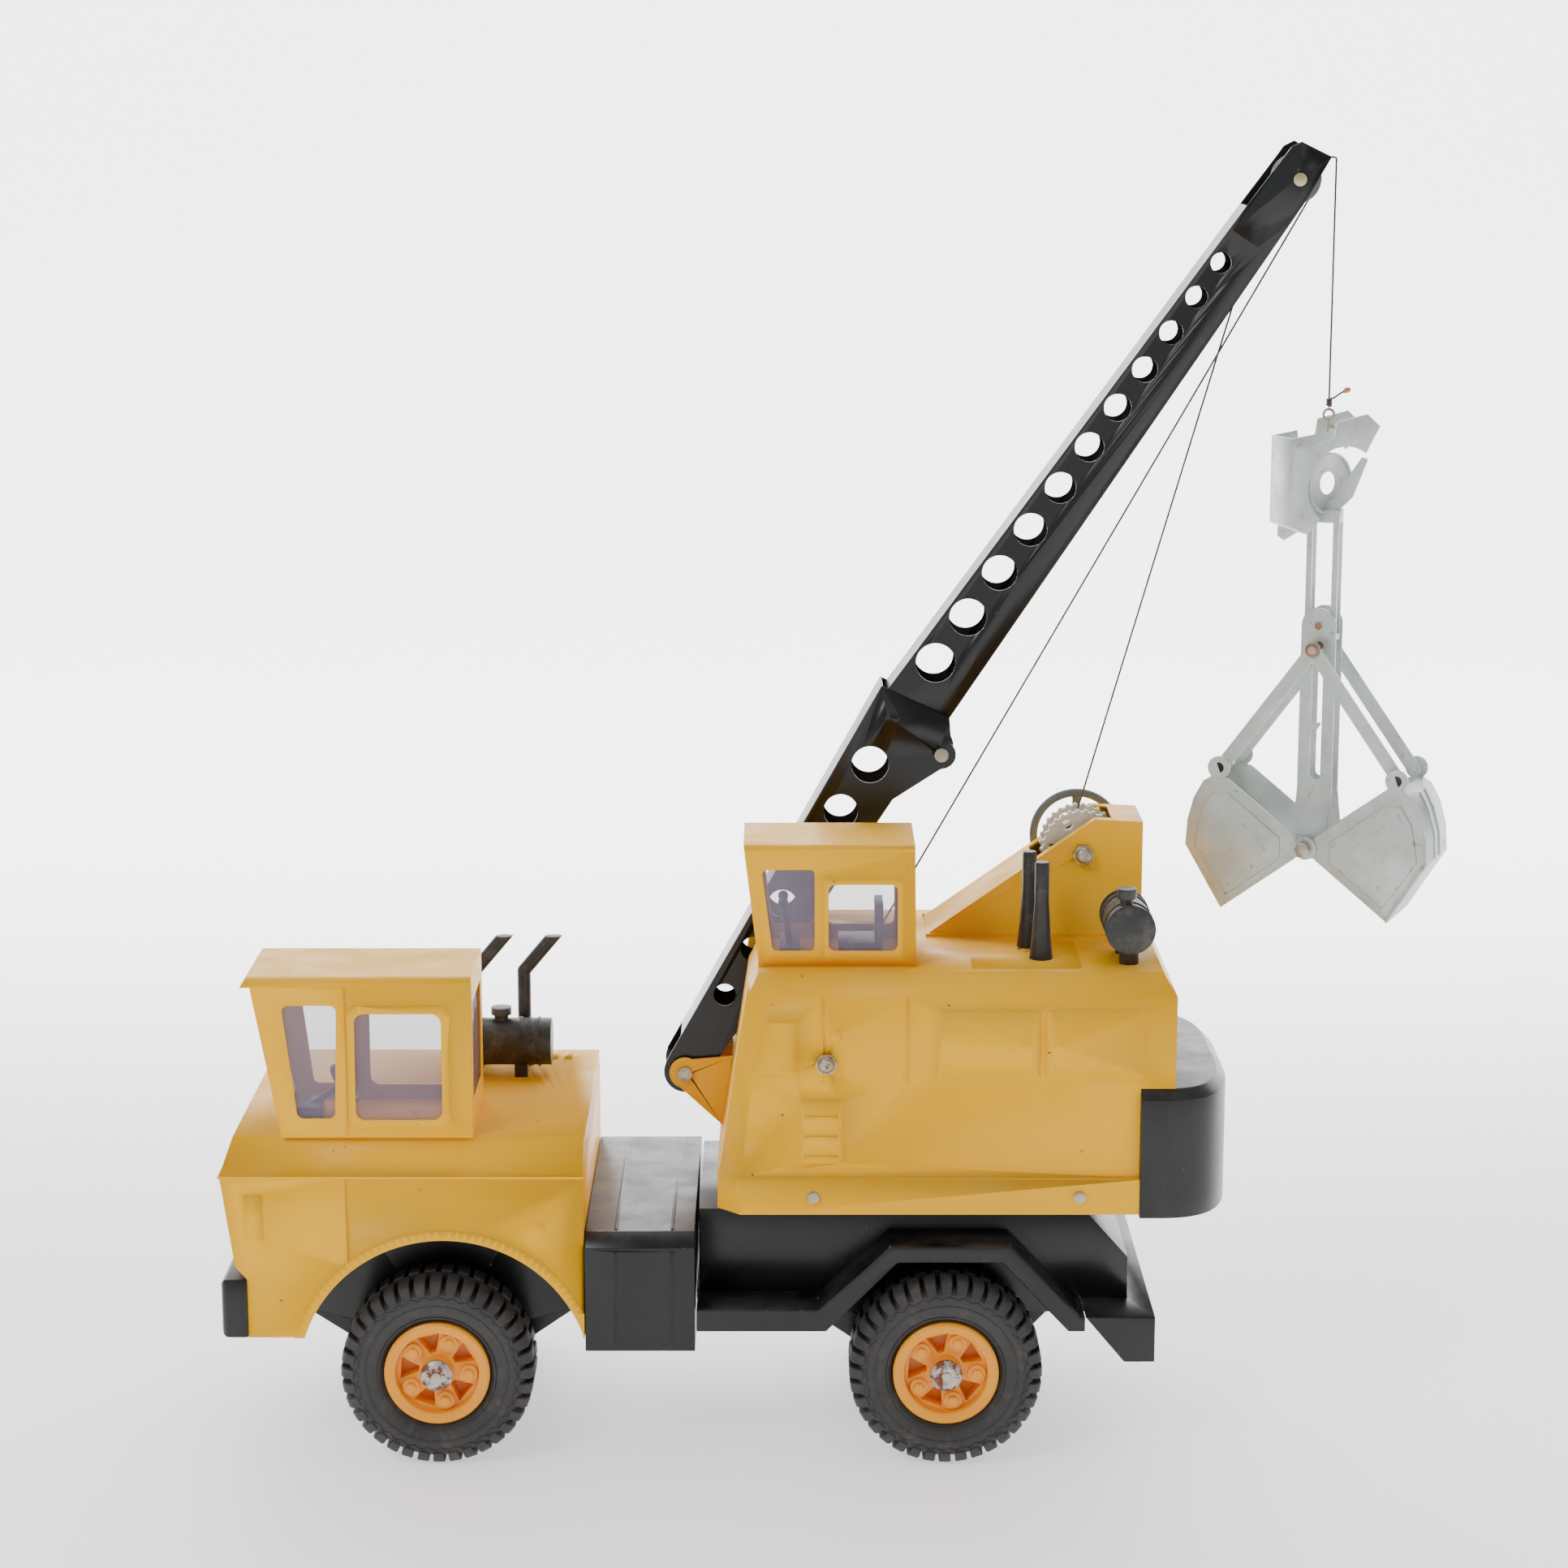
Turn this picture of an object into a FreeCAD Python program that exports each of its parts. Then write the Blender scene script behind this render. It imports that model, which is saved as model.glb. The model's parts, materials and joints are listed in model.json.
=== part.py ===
import FreeCAD, Part
import math
import os

# Toy crane truck, millimetres. +Z up, the cab faces -X. Sizes below are drawn from a point near the turret;
# every node is moved by frameShift, so that the origin is on the ground under the middle of the whole length.
V = FreeCAD.Vector
frameShift = 5.7

# sheet metal and fits
sheet = 1.0
thinSheet = 1.0
heavySheet = 2.5
runFit = 0.05

# wheels and axles
tyreR = 59.0
tyreIn = 72.0
tyreOut = 117.0
hubR = 32.0
axleR = 3.0
axleHalf = 121.0
frontAxleX = -253.5
rearAxleX = 54.5
axleZ = tyreR
lobeCount = 5
lobeR = 19.0
capR = 9.8

# front body
hoodFront = -384.5
hoodRear = -164.5
hoodHalf = 103.0
hoodTop = 203.0
hoodCrease = 180.0
hoodBottom = 78.0
hoodInset = 7.0
archR = 89.0
archZ = 51.0
archX = -249.5

# front cab
cabNear = -99.0
cabFar = -21.0
cabTop = 302.0
cabRear = -230.5
cabFoot = -345.5
cabBrow = -363.5

# chassis
wallHalf = 70.0
boardHalf = 105.0
deckTop = 149.0
chassisFront = -95.5
chassisRear = 167.5

# turret
slewX = 46.5
turretFloor = 153.0
turretTop = 301.0
turretHalf = 90.0
flangeHalf = 94.0
notchNear = 10.0
notchFar = 66.0

# boom, in the plane of its near cheek
boomNear = 20.0
boomFar = 56.0
boomMid = 38.0
boomFootX = -106.0
boomFootZ = 210.0
boomFootR = 13.5
sheaveX = 267.4
sheaveZ = 767.5
sheaveR = 15.0
jointFront = (17.0, 458.0)
jointRear = (59.3, 437.5)
holeCount = 11

# winches
hoistX = -18.2
hoistZ = 247.5
luffX = 143.0
luffZ = 353.0
winchNear = 12.0
winchFar = 62.0
ratchetR = 25.0
handR = 30.0

# bucket, hung at the knot and turned on its cord
knotX = 291.7
bucketYaw = -24.0
headYaw = 20.0
jawZ = 356.0
jawHalf = 26.0
crossZ = 480.6
earX = 56.6
earZ = 47.0

# cords
cordR = 0.6


def box(x0, x1, y0, y1, z0, z1):
    return Part.makeBox(x1 - x0, y1 - y0, z1 - z0, V(x0, y0, z0))


def rodX(y, z, r, x0, x1):
    return Part.makeCylinder(r, x1 - x0, V(x0, y, z), V(1, 0, 0))


def rodY(x, z, r, y0, y1):
    return Part.makeCylinder(r, y1 - y0, V(x, y0, z), V(0, 1, 0))


def rodZ(x, y, r, z0, z1):
    return Part.makeCylinder(r, z1 - z0, V(x, y, z0), V(0, 0, 1))


def face(points):
    return Part.Face(Part.makePolygon(points + [points[0]]))


def slab(outline, y0, y1):
    """a plate whose outline lies in XZ and whose thickness runs along Y"""
    return face([V(x, y0, z) for x, z in outline]).extrude(V(0, y1 - y0, 0))


def plan(outline, z0, z1):
    return face([V(x, y, z0) for x, y in outline]).extrude(V(0, 0, z1 - z0))


def taper(x0, x1, half, z0, x2, x3, half2, z1):
    """a frustum between two level rectangles"""
    def ring(a, b, h, z):
        return Part.makePolygon([V(a, -h, z), V(b, -h, z), V(b, h, z), V(a, h, z), V(a, -h, z)])
    return Part.makeLoft([ring(x0, x1, half, z0), ring(x2, x3, half2, z1)], True, True)


def turned(profile, x, z):
    """a solid of revolution about the axle line at x, z from (radius, y) points"""
    f = face([V(x + r, y, z) for r, y in profile])
    return f.revolve(V(x, 0, z), V(0, 1, 0), 360)


def rounded(outline, y0, y1, r):
    """a plate with all its corners rounded"""
    s = slab(outline, y0, y1)
    edges = [e for e in s.Edges if abs(e.tangentAt(e.FirstParameter).y) > 0.99]
    return s.makeFillet(r, edges)


def hexagon(x, z, r, y0, y1):
    pts = [(x + r * math.cos(math.radians(60 * k)), z + r * math.sin(math.radians(60 * k))) for k in range(6)]
    return slab(pts, y0, y1)


def bar(x0, z0, x1, z1, w, y0, y1):
    """a flat bar with round ends"""
    d = math.hypot(x1 - x0, z1 - z0)
    nx, nz = -(z1 - z0) / d * w / 2, (x1 - x0) / d * w / 2
    body = slab([(x0 + nx, z0 + nz), (x1 + nx, z1 + nz), (x1 - nx, z1 - nz), (x0 - nx, z0 - nz)], y0, y1)
    return fuse([body, rodY(x0, z0, w / 2, y0, y1), rodY(x1, z1, w / 2, y0, y1)])


def fuse(shapes):
    s = shapes[0].multiFuse(shapes[1:]) if len(shapes) > 1 else shapes[0]
    return s.removeSplitter()


def mirrored(s):
    return s.mirror(V(0, 0, 0), V(0, 1, 0))


def both(s):
    return [s, mirrored(s)]


def save(name, shape):
    solids = shape.Solids
    shape = (solids[0] if len(solids) == 1 else Part.makeCompound(solids)).copy()
    shape.translate(V(frameShift, 0, 0))
    assert solids and shape.isValid(), name
    shape.exportStep("parts/" + name + ".step")
    b = shape.BoundBox
    print("%-24s %2d solids  X %7.1f %7.1f  Y %7.1f %7.1f  Z %7.1f %7.1f" %
          (name, len(solids), b.XMin, b.XMax, b.YMin, b.YMax, b.ZMin, b.ZMax))


# ---- wheels -------------------------------------------------------------------------------------------

def tyre(x, side):
    profile = [(hubR + 0.2, tyreIn + 6), (50.0, tyreIn), (tyreR - 2.5, tyreIn + 4), (tyreR, tyreIn + 11),
               (tyreR, tyreOut - 11), (tyreR - 2.5, tyreOut - 4), (50.0, tyreOut), (hubR + 0.2, tyreOut - 5)]
    return turned([(r, side * y) for r, y in profile], x, axleZ)


def hub(x, side):
    """moulded hub: rim, dish with five funnel pockets, and five lobes with hexagon heads"""
    rim = [(axleR + runFit, tyreIn + 8), (hubR, tyreIn + 8), (hubR, tyreOut - 3), (hubR - 1.5, tyreOut - 2),
           (25.5, tyreOut - 3), (24.5, tyreOut - 9), (capR, tyreOut - 9), (capR, tyreOut - 1.5),
           (axleR + runFit, tyreOut - 1.5)]
    s = turned([(r, side * y) for r, y in rim], x, axleZ)
    y0, y1 = sorted([side * (tyreOut - 20), side * (tyreOut + 5)])
    cuts, heads = [], []
    for k in range(lobeCount):
        a = math.radians(104 + 360 / lobeCount * k)
        pts = [(x + r * math.cos(a + t), axleZ + r * math.sin(a + t))
               for r, t in [(11.5, -0.16), (23.5, -0.30), (23.5, 0.30), (11.5, 0.16)]]
        cuts.append(slab(pts, y0, y1))
        b = math.radians(68 + 360 / lobeCount * k)
        hx, hz = x + lobeR * math.cos(b), axleZ + lobeR * math.sin(b)
        h0, h1 = sorted([side * (tyreOut - 10), side * (tyreOut - 6)])
        heads.append(rodY(hx, hz, 5.4, h0, h1))
        h0, h1 = sorted([side * (tyreOut - 10), side * (tyreOut - 4)])
        heads.append(hexagon(hx, hz, 3.2, h0, h1))
    return fuse([s.cut(Part.makeCompound(cuts))] + heads)


def pushNuts():
    """serrated push-on nuts, one on each axle end"""
    caps = []
    for x in (frontAxleX, rearAxleX):
        for side in (-1, 1):
            profile = [(axleR, tyreOut + 0.5), (capR, tyreOut - 0.5), (capR, tyreOut + 1.2),
                       (7.0, tyreOut + 3.2), (axleR, tyreOut + 3.4)]
            caps.append(turned([(r, side * y) for r, y in profile], x, axleZ))
    return Part.makeCompound(caps)


def axles():
    return Part.makeCompound([rodY(x, axleZ, axleR, -axleHalf, axleHalf) for x in (frontAxleX, rearAxleX)])


# ---- truck body ---------------------------------------------------------------------------------------

def hoodSolid(t):
    """the hood's outside, or its inside when t is the sheet's thickness"""
    low = [(hoodFront + 1 + t, hoodCrease), (-375.5 + t, 123), (-368.5 + t, 115),
           (-368.5 + t, hoodBottom - t), (hoodRear - t, hoodBottom - t), (hoodRear - t, hoodCrease)]
    h = hoodHalf - t
    top = taper(hoodFront + 1 + t, hoodRear - t, h, hoodCrease,
                -375.5 + t, hoodRear - t, h - hoodInset, hoodTop - t)
    return fuse([slab(low, -h, h), top])


def frontBody():
    s = hoodSolid(0)
    ledge = box(hoodFront, hoodRear, -hoodHalf - 0.8, hoodHalf + 0.8, hoodCrease - 1.5, hoodCrease)
    dimple = [Part.makeSphere(8, V(-192.5, side * (hoodHalf - 5.5), 146)) for side in (-1, 1)]
    panels = both(slab([(-369, 140), (-369, 168), (-358, 168), (-358, 140)], -hoodHalf - 0.8,
            -hoodHalf + 0.5))
    seams = both(box(-308, -307, -hoodHalf - 0.5, -hoodHalf + 0.5, 126, 178))
    ring = [rodY(archX, archZ, archR + 6, side * hoodHalf - 1.5, side * hoodHalf + 1.5) for side in (-1, 1)]
    ring = [r.common(box(-400, hoodRear, -200, 200, hoodBottom, 300)) for r in ring]
    vents = [box(-222 + 9 * k, -217 + 9 * k, 73, 91, hoodTop - 0.5, hoodTop + 1.2) for k in range(5)]
    s = fuse([s, ledge] + dimple + panels + seams + ring + vents)
    s = s.cut(hoodSolid(sheet))
    s = s.cut(box(hoodRear - 5, hoodRear + 5, -50.2, 50.2, 83.9, 90.1))
    arch = rodY(archX, archZ, archR, -120, 120)
    return s.cut(arch.common(box(-400, hoodRear - sheet, -120, 120, 0, 178)))


def cabOutline(t):
    slope = (cabBrow - cabFoot) / (cabTop - hoodTop)
    low = hoodTop - (0 if t == 0 else 1)
    return [(cabFoot + t - slope * t, low), (cabRear - t, low), (cabRear - t, cabTop - t), (cabBrow + t,
            cabTop - t)]


def roofRounded(cavity, r):
    """the same cavity with its two long top edges rounded, so the wall keeps its thickness there"""
    top = [e for e in cavity.Edges if e.BoundBox.ZMin > cavity.BoundBox.ZMax - 0.1 and e.BoundBox.YLength < 0.1]
    return cavity.makeFillet(r, top)


def frontCab():
    """half-width driver's cab with a visor, four side windows, a windscreen and a rear window"""
    s = slab(cabOutline(0), cabNear, cabFar)
    visor = slab([(cabBrow - 5, cabTop - 6), (cabBrow + 4, cabTop - 6), (cabBrow + 4, cabTop),
                  (cabBrow - 1, cabTop)], cabNear, cabFar)
    s = fuse([s, visor])
    top = [e for e in s.Edges if e.BoundBox.ZMin > cabTop - 0.1 and abs(e.tangentAt(e.FirstParameter).x) > 0.9]
    s = s.makeFillet(5, top)
    frames = []
    for y0 in (cabNear - 0.8, cabFar - 0.2):
        frames.append(rounded([(-305, 209), (-305, 285), (-243, 285), (-243, 209)], y0, y0 + 1.0, 6))
        frames.append(box(-306.6, -305.8, y0, y0 + 1, 205, 296))
    s = fuse([s] + frames)
    s = s.cut(roofRounded(slab(cabOutline(sheet), cabNear + sheet, cabFar - sheet), 5 - sheet))
    quarter = rounded([(-344, 285), (-311, 285), (-313, 215), (-335.5, 215)], cabNear - 5, cabFar + 5, 4)
    door = rounded([(-300.5, 214), (-300.5, 280), (-248.5, 280), (-248.5, 214)], cabNear - 5, cabFar + 5, 6)
    screen = box(cabBrow - 2, cabFoot + 6, cabNear + 6, cabFar - 6, 212, 290)
    rear = box(cabRear - 5, cabRear + 5, cabNear + 10, cabFar - 10, 222, 284)
    return s.cut(quarter).cut(door).cut(screen).cut(rear)


def cabGlazing():
    """one folded clear liner that closes every window from inside"""
    g = sheet + 0.1
    outer = slab([(-343.6 + g, 204.5), (cabRear - g, 204.5), (cabRear - g, 296), (-360.0 + g, 296)],
                 cabNear + g, cabFar - g)
    h = g + 0.8
    inner = slab([(-343.6 + h, 204), (cabRear - h, 204), (cabRear - h, 297), (-360.2 + h, 297)],
                 cabNear + h, cabFar - h)
    return outer.cut(inner)


def steeringWheel():
    ring = Part.makeTorus(12, 1.6)
    ring.rotate(V(0, 0, 0), V(0, 1, 0), 55)
    ring.translate(V(-312, -60, 226))
    a = math.radians(55)
    axis = V(math.sin(a), 0, math.cos(a))
    foot = V(-312, -60, 226) - axis * 26
    column = Part.makeCylinder(2.2, 27, foot, axis)
    spokes = [Part.makeCylinder(1.3, 24.5, V(0, 0, 0), d) for d in (V(0, 1, 0), V(1, 0, 0))]
    spokes[0].translate(V(0, -12.25, 0))
    spokes[1].translate(V(-12.25, 0, 0))
    for s in spokes:
        s.rotate(V(0, 0, 0), V(0, 1, 0), 55)
        s.translate(V(-312, -60, 226))
    pad = box(-340, -326, -72, -48, hoodTop, 214)
    return fuse([ring, column, pad] + spokes)


def frontBumper():
    s = box(-384.5, -368.6, -boardHalf + 1, boardHalf - 1, 78, 115)
    s = s.makeFillet(4, [e for e in s.Edges if e.BoundBox.XMax < -384])
    t = heavySheet
    return s.cut(box(-384.5 + t, -368, -boardHalf + 1 + t, boardHalf - 1 - t, 78 + t, 115 - t))


def wheelLiners():
    """black panels behind the front wheels, which also carry the axle"""
    s = slab([(-338, 84), (-338, 200), (-172, 200), (-172, 84), (-224, 48), (-283, 48)], 66, 66 + sheet)
    return Part.makeCompound(both(s.cut(rodY(frontAxleX, axleZ, axleR + runFit, -100, 100))))


def frontFrame():
    """under-frame below the hood that joins the liners, the bumper and the rear chassis"""
    s = box(-366.9, chassisFront, -50, 50, 84, 90)
    s = s.cut(box(-400, 0, -50 + sheet, 50 - sheet, 80, 90 - sheet))
    lugs = both(box(-330, -180, 49.5, 66, 90 - sheet, 90))
    return fuse([s] + lugs)


def airCleaner():
    """air cleaner lying on the hood, with a ribbed end, a filler cap and two feet"""
    y, z, r = 38.0, 225.0, 15.0
    s = [rodX(y, z, r, -258.5, -191.5)]
    s += [rodX(y, z, r + 0.8, x, x + 1.6) for x in (-256, -212, -206, -200)]
    s += [rodZ(-223.5, y, 4.5, z + 10, z + 20), rodZ(-223.5, y, 6.5, z + 18, z + 22.5)]
    s += [box(x, x + 8, y - 7, y + 7, hoodTop, z - 8) for x in (-245, -215)]
    return fuse(s)


def exhaust(x, y):
    """upright stack, bent back near the top and cut level"""
    r, bend = 4.3, 265.0
    up = rodZ(x, y, r, hoodTop, bend)
    a = math.radians(50)
    axis = V(math.cos(a), 0, math.sin(a))
    lean = Part.makeCylinder(r, 50, V(x, y, bend), axis)
    elbow = Part.makeSphere(r, V(x, y, bend))
    foot = Part.makeCone(r + 2.5, r, 6, V(x, y, hoodTop), V(0, 0, 1))
    s = fuse([up, elbow, lean, foot])
    return s.cut(box(x - 50, x + 80, y - 20, y + 20, 288, 340))


def batterySolid(t):
    s = box(hoodRear + 0.5 + t, chassisFront - 2 - t, -boardHalf + t, boardHalf - t, 70 - t, 143.5 - t)
    return s.makeChamfer(8, [e for e in s.Edges if e.BoundBox.ZMin > 141 and e.BoundBox.YLength < 1])


def batteryBox():
    """pressed box between the cab and the turret, open below, with two ribs over its top and faces"""
    s = batterySolid(0)
    ribs = [box(x, x + 1.5, -boardHalf + 10, boardHalf - 10, 143, 144.4) for x in (-146, -112)]
    for side in (-1, 1):
        for x in (-146, -112):
            y0, y1 = sorted([side * (boardHalf - 0.5), side * (boardHalf + 0.9)])
            ribs.append(box(x, x + 1.5, y0, y1, 74, 133))
    s = fuse([s] + ribs)
    rails = box(-200, 0, -50.2, 50.2, 83.9, 90.2)
    return s.cut(batterySolid(sheet)).cut(rails)


def chassis():
    """rear chassis: deck, side walls with a slanted tail, axle brackets and the slew plate"""
    side = [(chassisFront, 82.5), (chassisFront, deckTop), (139.5, deckTop), (chassisRear, 118),
            (chassisRear, 82.5)]
    outer = slab(side, -wallHalf, wallHalf)
    inner = [(chassisFront - 5, 80), (chassisFront - 5, deckTop - sheet), (138.8, deckTop - sheet),
             (chassisRear - sheet, 117.4), (chassisRear - sheet, 80)]
    s = outer.cut(slab(inner, -wallHalf + sheet, wallHalf - sheet))
    web = [(-30, 84), (-30, deckTop - 1), (120, deckTop - 1), (120, 84), (86, 48), (23, 48)]
    brackets = both(slab(web, -wallHalf + 2, -wallHalf + 2 + sheet))
    plate = rodZ(slewX, 0, 60, deckTop - 1, deckTop + 3.5)
    floor = box(chassisFront, chassisRear - 1, -wallHalf + 1, wallHalf - 1, 92.5, 94)
    s = fuse([s, plate, floor] + brackets)
    s = s.cut(box(rearAxleX - 62, rearAxleX + 62, -40, 40, 90, 96)).cut(rodZ(slewX, 0, 6, 100, 200))
    return s.cut(rodY(rearAxleX, axleZ, axleR + runFit, -100, 100))


def fender(side):
    """running board that rises over the rear wheel in three flats, with a turned-down lip"""
    top = [(chassisFront - 1, 96), (-22.5, 96), (20.5, 136), (93.5, 136), (135.5, 91.5), (139, 91.5)]
    skin = top + [(139, 90), (134.8, 90), (92.8, 134.5), (21.1, 134.5), (-21.9, 94.5), (chassisFront - 1,
            94.5)]
    lip = top + [(139, 82.5), (129, 82.5), (88.5, 126), (25, 126), (-18, 82.5), (chassisFront - 1, 82.5)]
    y0, y1 = sorted([side * (wallHalf + 0.1), side * boardHalf])
    l0, l1 = sorted([side * (boardHalf - sheet), side * boardHalf])
    return fuse([slab(skin, y0, y1), slab(lip, l0, l1)])


def rearBumper():
    """stepped pressed bumper across the tail, open below"""
    s = slab([(139.2, 91.5), (163, 63), (181.5, 63), (181.5, 91.5)], -boardHalf, boardHalf)
    hollow = slab([(143, 90), (165, 62), (180, 62), (180, 90)], -boardHalf + sheet, boardHalf - sheet)
    s = s.cut(hollow)
    return s.cut(box(130, chassisRear + 0.1, -wallHalf - 0.1, wallHalf + 0.1, 82.4, 95))


def slewPin():
    """riveted king pin that the turret turns on"""
    return fuse([rodZ(slewX, 0, 6, deckTop - 4, turretFloor + 4), rodZ(slewX, 0, 11, turretFloor + 2.3,
            turretFloor + 5)])


# ---- turret -------------------------------------------------------------------------------------------

def turretOutline(t):
    return [(-83.0 + t, 175), (-65.5 + t, 288), (192.5 - t, 288), (192.5 - t, 231 + t), (171.5 - t, 231 + t),
            (171.5 - t, turretFloor - (0 if t == 0 else 1)), (-82.5 + t, turretFloor - (0 if t == 0 else 1))]


def turretSolid(t):
    h = turretHalf - t
    low = slab(turretOutline(t), -h, h)
    top = taper(-65.5 + t, 192.5 - t, h, 288, -58.5 + t, 184.5 - t, h - 10, turretTop - t)
    corner = 22.0
    s = fuse([low, top])
    for side in (-1, 1):
        y0, y1 = side * (turretHalf - corner - t * 0.5), side * (turretHalf + 10)
        wedge = plan([(-90, y0), (-60 + t * 0.5, y1), (-120, y1)], 100, 330)
        s = s.cut(wedge)
    return s


def notchSolid(t):
    """the boom's slot in the turret front, sloped to match the boom lying back"""
    return slab([(-130, 340), (-2 + t, 340), (-56 + t, 222 - t), (-130, 222 - t)], notchNear - t,
            notchFar + t)


def turretBody():
    outer = turretSolid(0)
    band = box(-84, 171.5, -flangeHalf, flangeHalf, turretFloor, 175)
    band = band.makeChamfer(14, [e for e in band.Edges if e.BoundBox.XMax < -83 and e.BoundBox.ZLength > 5])
    deco = []
    for s in (-1, 1):
        y0, y1 = sorted([s * (turretHalf - 0.5), s * (turretHalf + 1.0)])
        for x0, x1 in ((48.5, 110), (114, 174.5)):
            deco.append(rounded([(x0, 237), (x0, 280), (x1, 280), (x1, 237)], y0, y1, 3))
        deco += [Part.makeSphere(5, V(x, s * (turretHalf - 2.6), 257)) for x in (102, 122)]
        deco.append(rounded([(-63, 240), (-54, 273), (-35.5, 273), (-35.5, 240)], y0, y1, 2))
        deco += [box(x, x + 1, y0, y1 - 0.4 if s > 0 else y1, 234, 287) for x in (-21, 30)]
        deco.append(rounded([(-34, 184), (-34, 224), (-8, 224), (-8, 184)], y0, y1 - 0.3 if s > 0 else y1, 2))
        deco.append(Part.makeSphere(5, V(-12, s * (turretHalf - 2.6), 264)))
        deco += [box(-31, -11, *sorted([s * turretHalf, s * (turretHalf + 1.8)]), z, z + 2) for z in (187,
                199.5, 212)]
    deco.append(box(70, 136, -72, -8, turretTop - 0.5, turretTop + 1))
    shell = fuse([outer, band] + deco)
    inner = turretSolid(sheet).cut(notchSolid(sheet))
    shell = shell.cut(notchSolid(0)).cut(inner)
    cordSlot = box(4, 34, boomMid - 8, boomMid + 8, turretTop - 4, turretTop + 4)
    shell = shell.cut(cordSlot)
    shell = shell.cut(box(70, 176, winchNear + 3, winchFar - 3, turretTop - 4, turretTop + 4))
    return shell.cut(rodY(hoistX, hoistZ, axleR + runFit, -120, 120))


def turretPlate():
    """floor of the turret, turning on the king pin"""
    s = box(-78, 169.8, -88.4, 88.4, turretFloor, turretFloor + 2)
    s = s.makeChamfer(24, [e for e in s.Edges if e.BoundBox.XMax < -77 and e.BoundBox.ZLength > 1])
    return s.cut(rodZ(slewX, 0, 6 + runFit, turretFloor - 5, turretFloor + 5))


def turretScrews():
    s = []
    for side in (-1, 1):
        for x in (-25.8, 135.2):
            s.append(rodY(x, 164, 3.6, *sorted([side * flangeHalf, side * (flangeHalf + 1.6)])))
    return Part.makeCompound(s)


def turretCabOutline(t):
    low = turretTop - (0 if t == 0 else 1)
    return [(-58.7 + t, low), (36.4 - t, low), (35.4 - t, 376 - t), (-67.9 + t, 376 - t)]


def turretCab():
    near, far = -68.0, 2.0
    s = slab(turretCabOutline(0), near, far)
    s = s.makeFillet(4, [e for e in s.Edges if e.BoundBox.ZMin > 375.9 and e.BoundBox.YLength < 0.1])
    frames = [rounded([(-20, 304), (-20, 356), (29, 356), (29, 304)], y0, y0 + 1, 3) for y0 in (near - 0.7,
            far - 0.3)]
    s = fuse([s] + frames)
    s = s.cut(roofRounded(slab(turretCabOutline(sheet), near + sheet, far - sheet), 4 - sheet))
    quarter = rounded([(-57, 361), (-25, 361), (-25, 311), (-50.4, 311)], near - 5, far + 5, 3)
    door = rounded([(-16.6, 311), (-16.6, 352), (25.1, 352), (25.1, 311)], near - 5, far + 5, 4)
    screen = box(-72, -50, near + 5, far - 5, 309, 366)
    rear = box(30, 42, near + 8, far - 8, 309, 360)
    return s.cut(quarter).cut(door).cut(screen).cut(rear)


def turretGlazing():
    near, far = -68.0 + sheet + 0.1, 2.0 - sheet - 0.1
    outer = slab([(-56.5, 301.6), (34.2, 301.6), (33.4, 369), (-64.2, 369)], near, far)
    inner = slab([(-55.7, 301), (33.4, 301), (32.6, 370), (-63.6, 370)], near + 0.8, far - 0.8)
    return outer.cut(inner)


def controlLevers():
    """operator's seat and two levers on a console"""
    s = [box(-46, -34, -52, -14, turretTop, 309), box(-10, 16, -48, -18, turretTop, 311), box(12, 17, -48,
            -18, 308, 334)]
    for y in (-42, -24):
        lever = Part.makeCylinder(1.8, 28, V(-40, y, 307), V(-0.15, 0, 1))
        s += [lever, Part.makeSphere(3.2, V(-44, y, 335))]
    return fuse(s)


def tailSolid(x, t):
    """rounded tail from the turret's rear wall, inset by t"""
    z, d = 151 + t, 0.7 * t
    half = [V(186, 95 - t, z), V(215 - d, 82 - d, z), V(227 - t, 52 - d, z)]
    other = [V(p.x, -p.y, z) for p in half]
    back = Part.BSplineCurve()
    back.interpolate(other + [V(229 - t, 0, z)] + half[::-1])
    ends = [V(x, -95 + t, z), V(x, 95 - t, z)]
    wire = Part.Wire([Part.makeLine(ends[0], other[0]), back.toShape(), Part.makeLine(half[0], ends[1]),
                      Part.makeLine(ends[1], ends[0])])
    return Part.Face(wire).extrude(V(0, 0, 79.8 - 2 * t))


def counterweight():
    """rounded pressed tail behind the turret, with a bevelled top edge and a hole low at the rear"""
    s = tailSolid(171.7, 0)
    s = s.makeChamfer(6, [e for e in s.Edges if e.BoundBox.ZMin > 230.7 and e.BoundBox.XMax > 187
                          and e.BoundBox.XLength > 20])
    handle = box(224, 232, -14, 14, 196, 200)
    s = fuse([s, handle]).cut(tailSolid(160, heavySheet + 2))
    return s.cut(rodX(0, 172, 6, 210, 240))


def winchHousing():
    """wedge on the roof that holds the boom winch, open at its slope for the ratchet discs"""
    outline = [(45, turretTop), (150, 375), (180, 373.5), (180, turretTop)]
    s = slab(outline, winchNear, winchFar)
    rails = [slab([(45, turretTop), (180, turretTop), (180, turretTop + 1.5), (45, turretTop + 1.5)], y,
            y + 3)
             for y in (winchNear - 2.9, winchFar - 0.1)]
    s = fuse([s] + rails)
    inner = [(50.5, turretTop - 1), (150.4, 373.3), (178.5, 372), (178.5, turretTop - 1)]
    s = s.cut(slab(inner, winchNear + sheet, winchFar - sheet))
    window = slab([(112, 340), (112, 400), (161, 400), (161, 364)], winchNear + 7, winchFar - 7)
    return s.cut(window).cut(rodY(luffX, luffZ, axleR + runFit, 0, 80))


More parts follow.
